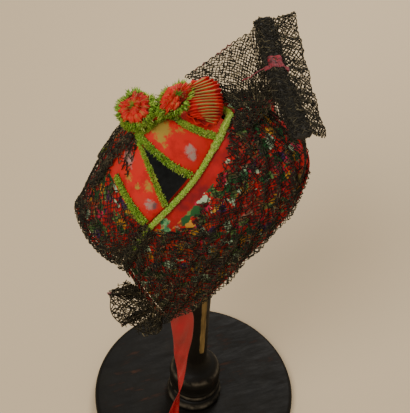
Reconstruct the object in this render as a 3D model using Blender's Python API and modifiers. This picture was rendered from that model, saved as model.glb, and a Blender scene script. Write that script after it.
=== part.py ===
"""Biggin cap on a turned hat stand: cotton shell, chenille, velvet, rosettes, net lace, ribbon and stand."""

import math

import bmesh
import bpy
import numpy as np

# Driving sizes, in metres. +Z is up, the face opening looks along -Y, the wearer's right side is -X.
CM = 0.01
GAP = 0.0004              # clearance that touching pieces keep
FABRIC_WALL = 0.0018      # printed cotton with its backing
LACE_WALL = 0.0012
LACE_LIFT = 0.0011        # lace lies this far off the cotton
BAND_BULGE = 0.5 * CM     # how far the side band swells between its edges
BINDING_RADIUS = 0.0016
BRAID_RADIUS = 0.0024
CHENILLE_WIDTH = 0.0062
CHENILLE_WALL = 0.0022
VELVET_WALL = 0.0010
RIBBON_WALL = 0.0008
BASE_RADIUS = 0.100
BASE_TOP = 0.0133
POST_LOW_RADIUS = 0.0107
POST_HIGH_RADIUS = 0.0122
HEAD_RADIUS = 0.030
HEAD_TOP = 0.4146
CAP_MIDDLE = np.array((0.0, 0.01, 0.35))

# Edges of the cap in centimetres, from the crown down the wearer's right side: half width, back, height
FACE_EDGE = (
    (0.00, -5.4, 40.9), (1.70, -6.0, 40.7), (3.40, -6.6, 40.2), (4.80, -6.5, 39.6),
    (5.80, -5.8, 38.3), (6.35, -4.7, 36.3), (6.70, -2.9, 34.3), (6.75, -1.1, 32.1),
    (6.60, 0.15, 29.9), (6.20, 1.6, 27.4), (5.60, 3.1, 25.4), (5.10, 4.7, 23.9),
)
SEAM = (
    (0.00, -1.76, 41.50), (1.40, -0.69, 41.65), (2.60, 0.5, 41.35), (3.80, 2.39, 39.85),
    (4.40, 4.5, 38.0), (4.60, 6.2, 36.4), (4.50, 7.3, 34.4), (4.10, 8.1, 32.0),
)
# The back panel's centre line in centimetres, from the crown to the nape: back, height
CENTRE_LINE = (
    (-1.76, 41.50), (0.24, 42.4), (2.3, 43.1), (4.2, 43.5), (5.5, 43.1),
    (6.4, 41.6), (7.3, 39.7), (8.4, 37.2), (9.4, 35.0), (10.3, 33.3),
)

# The far half sags as it leans on the stand: narrower, lower and a little further back
LEAN = {"soft": 1.0 * CM, "narrow": 0.16, "drop": 0.30, "back": 0.08, "from": 24 * CM, "over": 14 * CM}

# Chenille on the panel: name, panel place of its start and end as (level, turn), width as a share
CHENILLE = (
    ("upper", (0.315, 0.10), (0.205, 0.88), 1.00),
    ("middle", (0.450, 0.12), (0.425, 0.90), 1.00),
    ("lower", (0.515, 0.15), (0.585, 0.90), 1.00),
    ("short", (0.690, 0.13), (0.715, 0.90), 1.25),
)
VELVET = {"apex": (0.474, 0.30), "upper": (0.445, 0.86), "lower": (0.550, 0.86)}

# Rosettes: name, centre as (back, height) in cm, radii across and along the crown, rise, lobes, ripple, tilt
ROSETTES = (
    ("back", (5.85, 44.75), (0.0160, 0.0150), 0.0085, 9, 0.07, 0.15),
    ("middle", (2.85, 44.70), (0.0145, 0.0133), 0.0085, 7, 0.10, 0.20),
    ("front", (-0.15, 43.75), (0.0205, 0.0152), 0.0080, 11, 0.05, 0.48),
)

# Free edge of the side lace on the band: place down the side, reach from face edge to seam
SIDE_LACE_EDGE = (
    (0.00, 0.88), (0.15, 0.92), (0.30, 0.94), (0.45, 0.92), (0.58, 0.87),
    (0.70, 0.80), (0.80, 0.84), (0.90, 0.88), (1.00, 0.90),
)
SIDE_LACE_SCALLOP = {"count": 13, "depth": 0.035}
NECK_LACE = {"top": 0.755, "bottom": 0.985, "turn": 0.93}

# Lace standing over the forehead, in centimetres: side, back, height at each end and the middle
ROLL_LINE = ((-6.2, -5.2, 44.6), (0.0, -5.6, 44.75), (6.2, -6.7, 44.8))
FRILL_EDGE = ((-6.4, -7.0, 44.3), (0.0, -8.1, 44.4), (6.3, -9.3, 45.0))
ROLL_HALF = (0.0085, 0.0042)
ROLL_FOLD = 0.12          # how far the gathers swell it
FAN_EDGE = ((3.0, 0.9, 43.6), (4.0, -0.7, 43.3), (5.0, -2.5, 43.2), (5.6, -3.9, 43.4), (6.1, -5.4, 43.6))
WALL_REACH = 0.40         # how far down the face edge the standing lace runs

# Frill at each ear tip, in centimetres: place on the neck edge, then its outer edge
FRILL_OUTER = (
    (-5.0, 8.2, 30.5), (-5.5, 9.4, 30.0), (-5.3, 9.8, 28.4), (-5.7, 9.2, 25.9),
    (-5.3, 8.3, 24.0), (-5.6, 6.6, 22.9), (-5.3, 5.2, 22.7),
)
FRILL_WAVE = {"count": 5, "depth": 0.0040}

# Ribbon from the wearer's right ear tip: where it is stitched in, then its two edges in centimetres
RIBBON_SEAT = {"back": -0.985, "front": -0.925}
RIBBON = (
    ((-4.75, 4.25, 22.3), (-4.90, 2.30, 22.9)),
    ((-4.80, 4.00, 19.5), (-4.95, 2.25, 19.5)),
    ((-4.60, 3.80, 16.5), (-5.10, 2.70, 16.5)),
    ((-4.40, 3.45, 13.8), (-5.15, 2.90, 13.8)),
    ((-4.45, 3.30, 11.5), (-5.20, 3.25, 11.5)),
    ((-4.80, 3.15, 9.0), (-5.10, 3.85, 9.0)),
    ((-5.00, 3.10, 6.5), (-5.05, 4.25, 6.5)),
    ((-5.05, 2.90, 3.6), (-5.00, 4.30, 4.5)),
)

COLOURS = {
    "print": ((0.62, 0.06, 0.05), 0.85),
    "floral": ((0.42, 0.07, 0.06), 0.85),
    "binding": ((0.62, 0.03, 0.04), 0.80),
    "chenille": ((0.28, 0.46, 0.06), 0.95),
    "velvet": ((0.012, 0.012, 0.014), 0.95),
    "rosette": ((0.62, 0.08, 0.05), 0.80),
    "lace": ((0.022, 0.020, 0.016), 0.75),
    "ribbon": ((0.66, 0.02, 0.04), 0.40),
    "wood": ((0.020, 0.020, 0.019), 0.50),
}


def paint(kind):
    """The Principled material of this kind, made once."""
    if kind not in bpy.data.materials:
        colour, roughness = COLOURS[kind]
        made = bpy.data.materials.new(kind)
        made.use_nodes = True
        shader = made.node_tree.nodes["Principled BSDF"]
        shader.inputs["Base Color"].default_value = (*colour, 1)
        shader.inputs["Roughness"].default_value = roughness
    return bpy.data.materials[kind]


def add_object(name, data, kind):
    data.materials.append(paint(kind))
    made = bpy.data.objects.new(name, data)
    bpy.data.collections["biggin_cap"].objects.link(made)
    return made


def along(table, place, mirrored=False):
    """Smooth curve through a table's rows, at places from 0 to 1. A mirrored one starts on the centre plane."""
    rows = np.array(table, float) * CM
    before = rows[1] * np.array((-1, 1, 1)) if mirrored else 2 * rows[0] - rows[1]
    padded = np.vstack([before, rows, 2 * rows[-1] - rows[-2]])
    last = len(rows) - 1
    place = np.clip(np.asarray(place, float), 0, 1) * last
    index = np.minimum(place.astype(int), last - 1)
    part = (place - index)[..., None]
    a, b, c, d = (padded[index + step] for step in range(4))
    return 0.5 * (
        2 * b + (c - a) * part + (2 * a - 5 * b + 4 * c - d) * part**2 + (3 * b - a - 3 * c + d) * part**3
    )


def lean(points):
    """Narrows and lowers the far half, easing in from the centre line."""
    far = np.maximum(points[..., 0], 0)
    far = far * far / (far + LEAN["soft"])
    high = np.clip((points[..., 2] - LEAN["from"]) / LEAN["over"], 0, 1)
    moved = points.copy()
    moved[..., 0] -= LEAN["narrow"] * far
    moved[..., 1] += LEAN["back"] * far * high
    moved[..., 2] -= LEAN["drop"] * far * high
    return moved


def band_surface(side, reach):
    """Side band. side runs from -1 at the near ear tip over the crown to 1, reach from face edge to seam."""
    down = np.abs(side)
    front = along(FACE_EDGE, down, True)
    back = along(SEAM, down, True)
    points = front * (1 - reach)[..., None] + back * reach[..., None]
    turn = np.clip(down * 3, 0, 1) * math.pi / 2
    swell = BAND_BULGE * np.sin(np.pi * np.clip(reach, 0, 1))
    points[..., 0] += swell * np.sin(turn)
    points[..., 2] += swell * np.cos(turn)
    points[..., 0] *= np.where(side < 0, -1, 1)
    return lean(points)


def panel_surface(level, turn):
    """Back panel. level runs from the crown to the neck edge, turn from -1 at the near seam to 1."""
    seam = along(SEAM, level, True)
    centre = along(CENTRE_LINE, level)
    angle = turn * math.pi / 2
    points = seam.copy()
    points[..., 0] = seam[..., 0] * np.sin(angle)
    points[..., 1:] += (centre - seam[..., 1:]) * np.cos(angle)[..., None]
    return lean(points)


def lifted(surface, u, v, height):
    """The surface's point moved off it along its outward normal."""
    u = np.asarray(u, float)
    v = np.asarray(v, float)
    step = 1e-3
    here = surface(u, v)
    across = surface(u + step, v) - surface(u - step, v)
    down = surface(u, v + step) - surface(u, v - step)
    normal = np.cross(across, down)
    normal /= np.maximum(np.linalg.norm(normal, axis=-1, keepdims=True), 1e-12)
    outward = np.sign(np.sum(normal * (here - CAP_MIDDLE), axis=-1, keepdims=True))
    return here + normal * outward * height


def sheet(name, kind, cells, shape, wall, gaps=(), inward=False):
    """A loft over a grid of cells, opened at gaps and given its wall. shape maps arrays u, v in 0..1."""
    made = bmesh.new()
    bmesh.ops.create_grid(made, x_segments=cells[0], y_segments=cells[1], size=0.5)
    cell = [
        (int((face.calc_center_median().x + 0.5) * cells[0]), int((face.calc_center_median().y + 0.5) * cells[1]))
        for face in made.faces
    ]
    open_faces = [face for face, where in zip(made.faces, cell) if where in gaps]
    u = np.array([vertex.co.x + 0.5 for vertex in made.verts])
    v = np.array([vertex.co.y + 0.5 for vertex in made.verts])
    for vertex, place in zip(made.verts, shape(u, v)):
        vertex.co = place
    bmesh.ops.delete(made, geom=open_faces, context="FACES")
    bmesh.ops.remove_doubles(made, verts=made.verts, dist=1e-6)
    made.normal_update()
    facing = sum(face.normal.dot(face.calc_center_median() - type(face.normal)(CAP_MIDDLE)) for face in made.faces)
    if facing < 0:
        bmesh.ops.reverse_faces(made, faces=made.faces)
    data = bpy.data.meshes.new(name)
    made.to_mesh(data)
    made.free()
    piece = add_object(name, data, kind)
    solid = piece.modifiers.new("wall", "SOLIDIFY")
    solid.thickness = wall
    solid.offset = -1 if inward else 1
    solid.use_even_offset = False
    return piece


def spaced_gaps(columns, rows):
    """Cells that touch no other gap, not even at a corner, in staggered rows."""
    return {(i + (j // 2) % 2, j) for j in rows for i in columns}


def cord(name, kind, points, radius):
    """A round cord or binding along a line of points."""
    data = bpy.data.curves.new(name, "CURVE")
    data.dimensions = "3D"
    data.bevel_depth = radius
    data.bevel_resolution = 1
    data.use_fill_caps = True
    line = data.splines.new("POLY")
    line.points.add(len(points) - 1)
    for knot, place in zip(line.points, points):
        knot.co = (*place, 1)
    return add_object(name, data, kind)


def cap_shell():
    """The side band from ear to ear and the horseshoe back panel, with a seam gap between them."""
    band_end, panel_start, panel_edge = 0.985, 0.05, 0.992
    sheet(
        "side_band", "floral", (36, 6),
        lambda u, v: band_surface(2 * u - 1, v * band_end),
        FABRIC_WALL, inward=True,
    )
    sheet(
        "back_panel", "print", (14, 16),
        lambda u, v: panel_surface(panel_start + (1 - panel_start) * v, (2 * u - 1) * panel_edge),
        FABRIC_WALL, inward=True,
    )


def bindings():
    """Narrow red bindings along the face edge and round the neck edge."""
    side = np.linspace(-0.985, 0.985, 45)
    off = BINDING_RADIUS + GAP * 1.5
    edge = band_surface(side, np.zeros(45))
    inner = band_surface(side, np.full(45, 0.06))
    outward = (edge - inner) / np.linalg.norm(edge - inner, axis=1, keepdims=True)
    cord("face_binding", "binding", edge + outward * off - skin_half(band_surface, side, edge), BINDING_RADIUS)

    reach = np.linspace(0.03, 0.97, 7)
    near = band_surface(np.full(7, -1.0), reach)
    far = band_surface(np.full(7, 1.0), reach)[::-1]
    turn = np.linspace(-0.97, 0.97, 15)
    nape = panel_surface(np.ones(15), turn)
    near_in = band_surface(np.full(7, -0.95), reach)
    far_in = band_surface(np.full(7, 0.95), reach)[::-1]
    nape_in = panel_surface(np.full(15, 0.96), turn)
    edge = np.vstack([near, nape, far])
    inner = np.vstack([near_in, nape_in, far_in])
    outward = (edge - inner) / np.linalg.norm(edge - inner, axis=1, keepdims=True)
    cord("neck_binding", "binding", edge + outward * (off + GAP), BINDING_RADIUS)


def skin_half(surface, side, edge):
    """From the outer skin to the middle of the wall, along the normal."""
    return lifted(surface, side, np.full(len(side), 0.01), FABRIC_WALL / 2) - surface(side, np.full(len(side), 0.01))


def trims():
    """The green braid over the seam, the chenille strips and the velvet triangles."""
    level = np.linspace(-0.955, 0.955, 49)
    reach = np.full(49, 0.985)
    cord("seam_braid", "chenille", lifted(band_surface, level, reach, BRAID_RADIUS + 2.2 * GAP), BRAID_RADIUS)

    for hand, sign in (("near", -1), ("far", 1)):
        for label, start, end, share in CHENILLE:
            def strip(u, v, start=start, end=end, share=share, sign=sign):
                middle = [start[i] + (end[i] - start[i]) * v for i in (0, 1)]
                centre = lifted(panel_surface, middle[0], sign * middle[1], 2 * GAP)
                ahead = panel_surface(middle[0] + (end[0] - start[0]) * 0.01, sign * (middle[1] + 0.01))
                run = ahead - panel_surface(middle[0], sign * middle[1])
                normal = lifted(panel_surface, middle[0], sign * middle[1], 1.0) - panel_surface(
                    middle[0], sign * middle[1]
                )
                aside = np.cross(normal, run)
                aside /= np.linalg.norm(aside, axis=1, keepdims=True)
                return centre + aside * ((u - 0.5) * CHENILLE_WIDTH * share)[:, None]
            sheet(f"chenille_{label}_{hand}", "chenille", (2, 7), strip, CHENILLE_WALL)

        def triangle(u, v, sign=sign):
            base = [VELVET["upper"][i] + (VELVET["lower"][i] - VELVET["upper"][i]) * u for i in (0, 1)]
            place = [VELVET["apex"][i] + (base[i] - VELVET["apex"][i]) * (0.06 + 0.94 * v) for i in (0, 1)]
            return lifted(panel_surface, place[0], sign * place[1], 2 * GAP)
        sheet(f"velvet_{hand}", "velvet", (4, 6), triangle, VELVET_WALL)


def rosettes():
    """Ruffled rosettes along the crown, each gathered to a stem that is stitched to the panel."""
    levels = np.linspace(0.06, 0.6, 200)
    ridge = panel_surface(levels, np.zeros(200))
    for label, (back, height), radii, rise, lobes, ripple, tilt in ROSETTES:
        centre = np.array((0.0, back * CM, height * CM))
        nearest = np.linalg.norm(ridge - centre, axis=1).argmin()
        root = lifted(panel_surface, levels[nearest : nearest + 1], np.zeros(1), 1.5 * GAP)[0]
        stem = centre - root
        depth = np.linalg.norm(stem)
        stem /= depth
        face = stem - np.array((tilt, 0, 0))
        face /= np.linalg.norm(face)
        profile = (
            (0.00, -depth), (0.24, -depth), (0.30, -0.72 * depth), (0.62, -0.40 * depth), (1.0, -0.08 * depth),
            (0.95, 0.35 * rise), (0.62, rise), (0.25, 0.78 * rise), (0.0, 0.55 * rise),
        )
        gathered = 3              # rows of the profile that follow the stem, before the tilted head
        made = bmesh.new()
        bmesh.ops.create_uvsphere(made, u_segments=2 * lobes, v_segments=len(profile) - 1, radius=1)
        for vertex in made.verts:
            polar = math.acos(max(-1.0, min(1.0, vertex.co.z)))
            row = round((math.pi - polar) / math.pi * (len(profile) - 1))
            angle = math.atan2(vertex.co.y, vertex.co.x)
            share, up = profile[row]
            axis = stem if row < gathered else face
            wave = 1 if row < gathered else 1 + ripple * math.cos(lobes * angle)
            across = np.cross((0.0, 1.0, 0.0), axis)
            across /= np.linalg.norm(across)
            length = np.cross(axis, across)
            reach = across * math.cos(angle) * radii[0] + length * math.sin(angle) * radii[1]
            vertex.co = centre + axis * up + reach * share * wave
        data = bpy.data.meshes.new(f"rosette_{label}")
        made.to_mesh(data)
        made.free()
        data.shade_smooth()
        add_object(f"rosette_{label}", data, "rosette")


def lace_on_cap():
    """Net lace that lies on the side band and round the lower back, pierced by its larger meshes."""
    def side_lace(sign, start):
        def place(u, v):
            down = start + (0.985 - start) * u
            free = along([(a / CM, b / CM) for a, b in SIDE_LACE_EDGE], down)[:, 1]
            wave = SIDE_LACE_SCALLOP["depth"] * np.abs(np.sin(np.pi * SIDE_LACE_SCALLOP["count"] * u))
            reach = 0.035 + (free + wave - 0.07) * v
            return lifted(band_surface, sign * down, reach, LACE_LIFT)
        return place
    holes = spaced_gaps(range(2, 24, 4), (1, 3))
    sheet("lace_side_near", "lace", (26, 5), side_lace(-1, 0.0), LACE_WALL, holes)
    sheet("lace_side_far", "lace", (26, 5), side_lace(1, 0.10), LACE_WALL, holes)

    def neck_lace(u, v):
        level = NECK_LACE["top"] + (NECK_LACE["bottom"] - NECK_LACE["top"]) * v
        return lifted(panel_surface, level, (2 * u - 1) * NECK_LACE["turn"], LACE_LIFT)
    sheet("lace_neck", "lace", (16, 5), neck_lace, LACE_WALL, spaced_gaps(range(1, 14, 3), (1, 3)))


def standing_lace():
    """Lace that stands over the forehead: a wall from the face edge, a gathered roll, a frill and a fan."""
    rings = 15
    places = np.linspace(0, 1, rings)
    centre = along(ROLL_LINE, places)
    ahead = along(ROLL_LINE, places + 0.01) - along(ROLL_LINE, places - 0.01)
    ahead /= np.linalg.norm(ahead, axis=1, keepdims=True)
    made = bmesh.new()
    bmesh.ops.create_cone(
        made, cap_ends=True, segments=10, radius1=1, radius2=1, depth=1,
    )
    bmesh.ops.subdivide_edges(
        made, edges=[edge for edge in made.edges if abs(edge.verts[0].co.z - edge.verts[1].co.z) > 0.5],
        cuts=rings - 2,
    )
    for vertex in made.verts:
        step = round((vertex.co.z + 0.5) * (rings - 1))
        forward = np.cross((0.0, 0.0, 1.0), ahead[step])
        forward /= np.linalg.norm(forward)
        up = np.cross(ahead[step], forward)
        fold = 1 + ROLL_FOLD * math.sin(2.1 * step)
        reach = forward * vertex.co.x * ROLL_HALF[0] + up * vertex.co.y * ROLL_HALF[1] * fold
        vertex.co = centre[step] + reach
    if made.calc_volume(signed=True) < 0:
        bmesh.ops.reverse_faces(made, faces=made.faces)
    data = bpy.data.meshes.new("lace_roll")
    made.to_mesh(data)
    made.free()
    add_object("lace_roll", data, "lace")

    clear = ROLL_HALF[0] + 2 * GAP
    def frill(u, v):
        start = along(ROLL_LINE, u) - np.array((0, clear, 0.0006))
        end = along(FRILL_EDGE, u)
        points = start + (end - start) * v[:, None]
        points[:, 2] += 0.0022 * np.sin(u * math.pi * 9) * v
        return points
    sheet("lace_frill", "lace", (24, 3), frill, LACE_WALL, {(i, 1) for i in range(1, 23, 2)})

    def wall(u, v):
        side = (2 * u - 1) * WALL_REACH
        foot = lifted(band_surface, side, np.full(len(u), 0.02), LACE_LIFT + LACE_WALL + 1.3 * GAP)
        top = along(ROLL_LINE, u) - np.array((0, 0, ROLL_HALF[1] * (1 + ROLL_FOLD) + GAP))
        points = foot + (top - foot) * v[:, None]
        points[:, 1] -= 0.004 * np.sin(np.pi * v) + 0.0016 * np.sin(u * math.pi * 11) * v * (1 - v)
        return points
    sheet("lace_wall", "lace", (21, 4), wall, LACE_WALL, spaced_gaps(range(1, 19, 3), (1, 3)))

    def fan(u, v):
        side = np.full(len(u), 0.012)
        root = lifted(band_surface, side, 0.10 + 0.70 * v, 1.5 * GAP)
        end = along(FAN_EDGE[::-1], v)
        points = root + (end - root) * u[:, None]
        points[:, 2] += 0.006 * np.sin(np.pi * u)
        return points
    sheet("lace_fan", "lace", (9, 13), fan, LACE_WALL, spaced_gaps(range(1, 8, 2), (1, 3, 5, 7, 9, 11)))


def ear_frills():
    """Open gathered frills that hang from the neck edge at the ear tips."""
    for hand, sign in (("near", -1), ("far", 1)):
        def frill(u, v, sign=sign):
            edge = band_surface(np.full(len(u), sign * 1.0), 0.62 * (1 - u) + 0.02)
            inner = band_surface(np.full(len(u), sign * 0.95), 0.62 * (1 - u) + 0.02)
            outward = (edge - inner) / np.linalg.norm(edge - inner, axis=1, keepdims=True)
            root = edge + outward * (2 * BINDING_RADIUS + 6 * GAP)
            end = along(FRILL_OUTER, u)
            if sign > 0:
                end = lean(end * np.array((-1, 1, 1)))
            points = root + (end - root) * v[:, None]
            points[:, 0] += sign * FRILL_WAVE["depth"] * np.sin(u * math.pi * FRILL_WAVE["count"]) * v
            return points
        sheet(f"lace_ear_{hand}", "lace", (15, 5), frill, LACE_WALL, spaced_gaps(range(1, 13, 3), (1, 3)))


def ribbon():
    """The one ribbon that shows, hanging inside the near ear tip with a half twist."""
    def stitched(place, reach, inside):
        depth = FABRIC_WALL + GAP + RIBBON_WALL + inside
        return tuple(lifted(band_surface, np.array([place]), np.array([reach]), -depth)[0] / CM)

    seats = [[stitched(RIBBON_SEAT[end], *where) for where in ((0.16, 0.0), (0.0, BINDING_RADIUS * 0.8))]
             for end in ("back", "front")]
    edges = [seats[i] + [row[i] for row in RIBBON] for i in (0, 1)]

    def place(u, v):
        sides = [along(edge, v) for edge in edges]
        return sides[0] + (sides[1] - sides[0]) * u[:, None]
    sheet("ribbon", "ribbon", (2, 24), place, RIBBON_WALL)


def turned(name, profile, steps):
    """A turned piece of the stand, from its profile at +X, top to bottom."""
    made = bmesh.new()
    verts = [made.verts.new((x, 0, z)) for x, z in profile]
    for above, below in zip(verts, verts[1:]):
        made.edges.new((above, below))
    data = bpy.data.meshes.new(name)
    made.to_mesh(data)
    made.free()
    piece = add_object(name, data, "wood")
    screw = piece.modifiers.new("turn", "SCREW")
    screw.steps = screw.render_steps = steps
    screw.use_merge_vertices = True
    screw.merge_threshold = 1e-5
    return piece


def arc(middle, radius, start, end, count):
    """Points of an arc in the profile plane, angles in degrees."""
    angles = np.radians(np.linspace(start, end, count))
    return [(middle[0] + radius * math.cos(a), middle[1] + radius * math.sin(a)) for a in angles]


def stand():
    """A turned disc, a post with a bell foot and rings, and the hidden domed head that props the crown."""
    edge = 0.0045
    disc = [(0, BASE_TOP)] + arc((BASE_RADIUS - edge, BASE_TOP - edge), edge, 90, 0, 4)
    disc += [(BASE_RADIUS, 0.003), (BASE_RADIUS - 0.002, 0.0), (0, 0)]
    turned("stand_base", disc, 48)

    foot = BASE_TOP + GAP
    neck = HEAD_TOP - HEAD_RADIUS
    post = [(0, neck), (POST_HIGH_RADIUS, neck), (POST_HIGH_RADIUS, 0.30), (POST_LOW_RADIUS, 0.075)]
    post += arc((0.0095, 0.052), 0.0165, 66, 0, 5)
    post += [(0.0250, 0.040), (0.0230, 0.0375), (0.0255, 0.0350), (0.0262, 0.0310), (0.0235, 0.0285)]
    post += [(0.0230, 0.0240), (0.0275, 0.0215), (0.0285, 0.0180), (0.0275, foot), (0, foot)]
    turned("stand_post", post, 28)

    head = [(0, HEAD_TOP)] + arc((0, HEAD_TOP - HEAD_RADIUS * 1.1), HEAD_RADIUS * 1.1, 76, 24, 6)
    head += [(HEAD_RADIUS * 0.55, neck + GAP), (0, neck + GAP)]
    turned("stand_head", head, 24)


def main():
    for old in list(bpy.data.objects):
        bpy.data.objects.remove(old, do_unlink=True)
    group = bpy.data.collections.new("biggin_cap")
    bpy.context.scene.collection.children.link(group)
    cap_shell()
    bindings()
    trims()
    rosettes()
    lace_on_cap()
    standing_lace()
    ear_frills()
    ribbon()
    stand()


main()
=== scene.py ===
# Biggin cap on its turned stand: printed cotton, net lace, chenille, velvet, rosettes and ribbon
import math

import bmesh
import bpy
import numpy as np
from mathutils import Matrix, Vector


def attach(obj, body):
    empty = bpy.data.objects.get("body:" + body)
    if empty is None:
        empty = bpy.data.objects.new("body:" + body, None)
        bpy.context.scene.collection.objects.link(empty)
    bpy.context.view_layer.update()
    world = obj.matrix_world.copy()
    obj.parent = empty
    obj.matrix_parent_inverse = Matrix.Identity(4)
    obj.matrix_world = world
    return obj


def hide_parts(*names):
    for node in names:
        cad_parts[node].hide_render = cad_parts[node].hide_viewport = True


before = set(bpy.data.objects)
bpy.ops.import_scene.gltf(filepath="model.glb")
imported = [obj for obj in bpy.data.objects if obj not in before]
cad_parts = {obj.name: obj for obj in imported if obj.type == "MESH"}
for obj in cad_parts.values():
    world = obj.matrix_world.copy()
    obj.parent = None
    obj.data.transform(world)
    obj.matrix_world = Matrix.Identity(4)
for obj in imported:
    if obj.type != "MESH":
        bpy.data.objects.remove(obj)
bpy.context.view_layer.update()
print("frame loaded:", len(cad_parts), "nodes")

rng = np.random.default_rng(11)
cm = 0.01
capMiddle = np.array((0.0, 0.01, 0.35))

# Shared form of the cap, in centimetres: half width, back, height, from the crown down one side
capForm = {
    "faceEdge": (
        (0.00, -5.4, 40.9), (1.70, -6.0, 40.7), (3.40, -6.6, 40.2), (4.80, -6.5, 39.6),
        (5.80, -5.8, 38.3), (6.35, -4.7, 36.3), (6.70, -2.9, 34.3), (6.75, -1.1, 32.1),
        (6.60, 0.15, 29.9), (6.20, 1.6, 27.4), (5.60, 3.1, 25.4), (5.10, 4.7, 23.9),
    ),
    "seam": (
        (0.00, -1.76, 41.50), (1.40, -0.69, 41.65), (2.60, 0.5, 41.35), (3.80, 2.39, 39.85),
        (4.40, 4.5, 38.0), (4.60, 6.2, 36.4), (4.50, 7.3, 34.4), (4.10, 8.1, 32.0),
    ),
    "centreLine": (
        (-1.76, 41.50), (0.24, 42.4), (2.3, 43.1), (4.2, 43.5), (5.5, 43.1),
        (6.4, 41.6), (7.3, 39.7), (8.4, 37.2), (9.4, 35.0), (10.3, 33.3),
    ),
    # the band's swell, then how the far half leans
    "bulge": 0.005, "soft": 0.01, "narrow": 0.16, "drop": 0.30, "back": 0.08,
    "leanFrom": 0.24, "leanOver": 0.14,
}


# Small tools for curves, surfaces and meshes

def through(rows, place, mirrored=False):
    # Smooth curve through a table's rows, at places from 0 to 1
    rows = np.array(rows, float) * cm
    before = rows[1] * np.array((-1, 1, 1)) if mirrored else 2 * rows[0] - rows[1]
    padded = np.vstack([before, rows, 2 * rows[-1] - rows[-2]])
    last = len(rows) - 1
    place = np.clip(np.asarray(place, float), 0, 1) * last
    index = np.minimum(place.astype(int), last - 1)
    part = (place - index)[..., None]
    a, b, c, d = (padded[index + step] for step in range(4))
    return 0.5 * (
        2 * b + (c - a) * part + (2 * a - 5 * b + 4 * c - d) * part**2 + (3 * b - a - 3 * c + d) * part**3
    )


def leaning(points):
    # The far half is narrower and lower, easing in from the centre
    far = np.maximum(points[..., 0], 0)
    far = far * far / (far + capForm["soft"])
    high = np.clip((points[..., 2] - capForm["leanFrom"]) / capForm["leanOver"], 0, 1)
    moved = points.copy()
    moved[..., 0] -= capForm["narrow"] * far
    moved[..., 1] += capForm["back"] * far * high
    moved[..., 2] -= capForm["drop"] * far * high
    return moved


def bandSurface(side, reach):
    # side: -1 at the near ear tip, 0 at the crown, 1 at the far tip. reach: 0 at the face edge, 1 at the seam
    side, reach = np.broadcast_arrays(np.asarray(side, float), np.asarray(reach, float))
    down = np.abs(side)
    front = through(capForm["faceEdge"], down, True)
    back = through(capForm["seam"], down, True)
    points = front * (1 - reach)[..., None] + back * reach[..., None]
    turn = np.clip(down * 3, 0, 1) * math.pi / 2
    swell = capForm["bulge"] * np.sin(np.pi * np.clip(reach, 0, 1))
    points[..., 0] += swell * np.sin(turn)
    points[..., 2] += swell * np.cos(turn)
    points[..., 0] *= np.where(side < 0, -1, 1)
    return leaning(points)


def panelSurface(level, turn):
    # level: 0 at the crown, 1 at the neck edge. turn: -1 at the near seam, 1 at the far seam
    level, turn = np.broadcast_arrays(np.asarray(level, float), np.asarray(turn, float))
    seam = through(capForm["seam"], level, True)
    centre = through(capForm["centreLine"], level)
    angle = turn * math.pi / 2
    points = seam.copy()
    points[..., 0] = seam[..., 0] * np.sin(angle)
    points[..., 1:] += (centre - seam[..., 1:]) * np.cos(angle)[..., None]
    return leaning(points)


def normalAt(surface, u, v):
    step = 1e-3
    across = surface(u + step, v) - surface(u - step, v)
    down = surface(u, v + step) - surface(u, v - step)
    normal = unit(np.cross(across, down))
    outward = np.sign(np.sum(normal * (surface(u, v) - capMiddle), axis=-1, keepdims=True))
    return normal * outward


def offSurface(surface, u, v, height):
    u, v, height = np.broadcast_arrays(np.asarray(u, float), np.asarray(v, float), np.asarray(height, float))
    return surface(u, v) + normalAt(surface, u, v) * height[..., None]


def unit(vectors):
    return vectors / np.maximum(np.linalg.norm(vectors, axis=-1, keepdims=True), 1e-12)


def bell(values, middle, half):
    # 1 at the middle, fading over the half width
    return np.exp(-((values - middle) / half) ** 2)


def spot(u, v, middle, half):
    # The same both ways
    return np.exp(-((u - middle[0]) / half[0]) ** 2 - ((v - middle[1]) / half[1]) ** 2)


def held(values):
    # Kept from 0 to 1
    return np.clip(values, 0, 1)


def arch(share):
    # A half wave over a piece, kept just off its ends
    return np.sin(np.pi * np.clip(share, 0.02, 0.98))


def ripple(points, size, depth, seed):
    # Gentle unevenness for cloth: a sum of waves running three ways
    draw = np.random.default_rng(seed)
    total = np.zeros(points.shape[:-1])
    for _ in range(7):
        way = unit(draw.normal(size=3))
        total += np.sin(points @ way * 2 * math.pi / (size * draw.uniform(0.6, 1.6)) + draw.uniform(0, 6.28))
    return total * depth / 3


def addPiece(name, data, material, nodes=(), smooth=True):
    data.materials.append(material)
    if smooth:
        data.shade_smooth()
    piece = bpy.data.objects.new(name, data)
    bpy.context.scene.collection.objects.link(piece)
    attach(piece, "root")
    if nodes:
        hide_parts(*nodes)
    return piece


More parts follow.
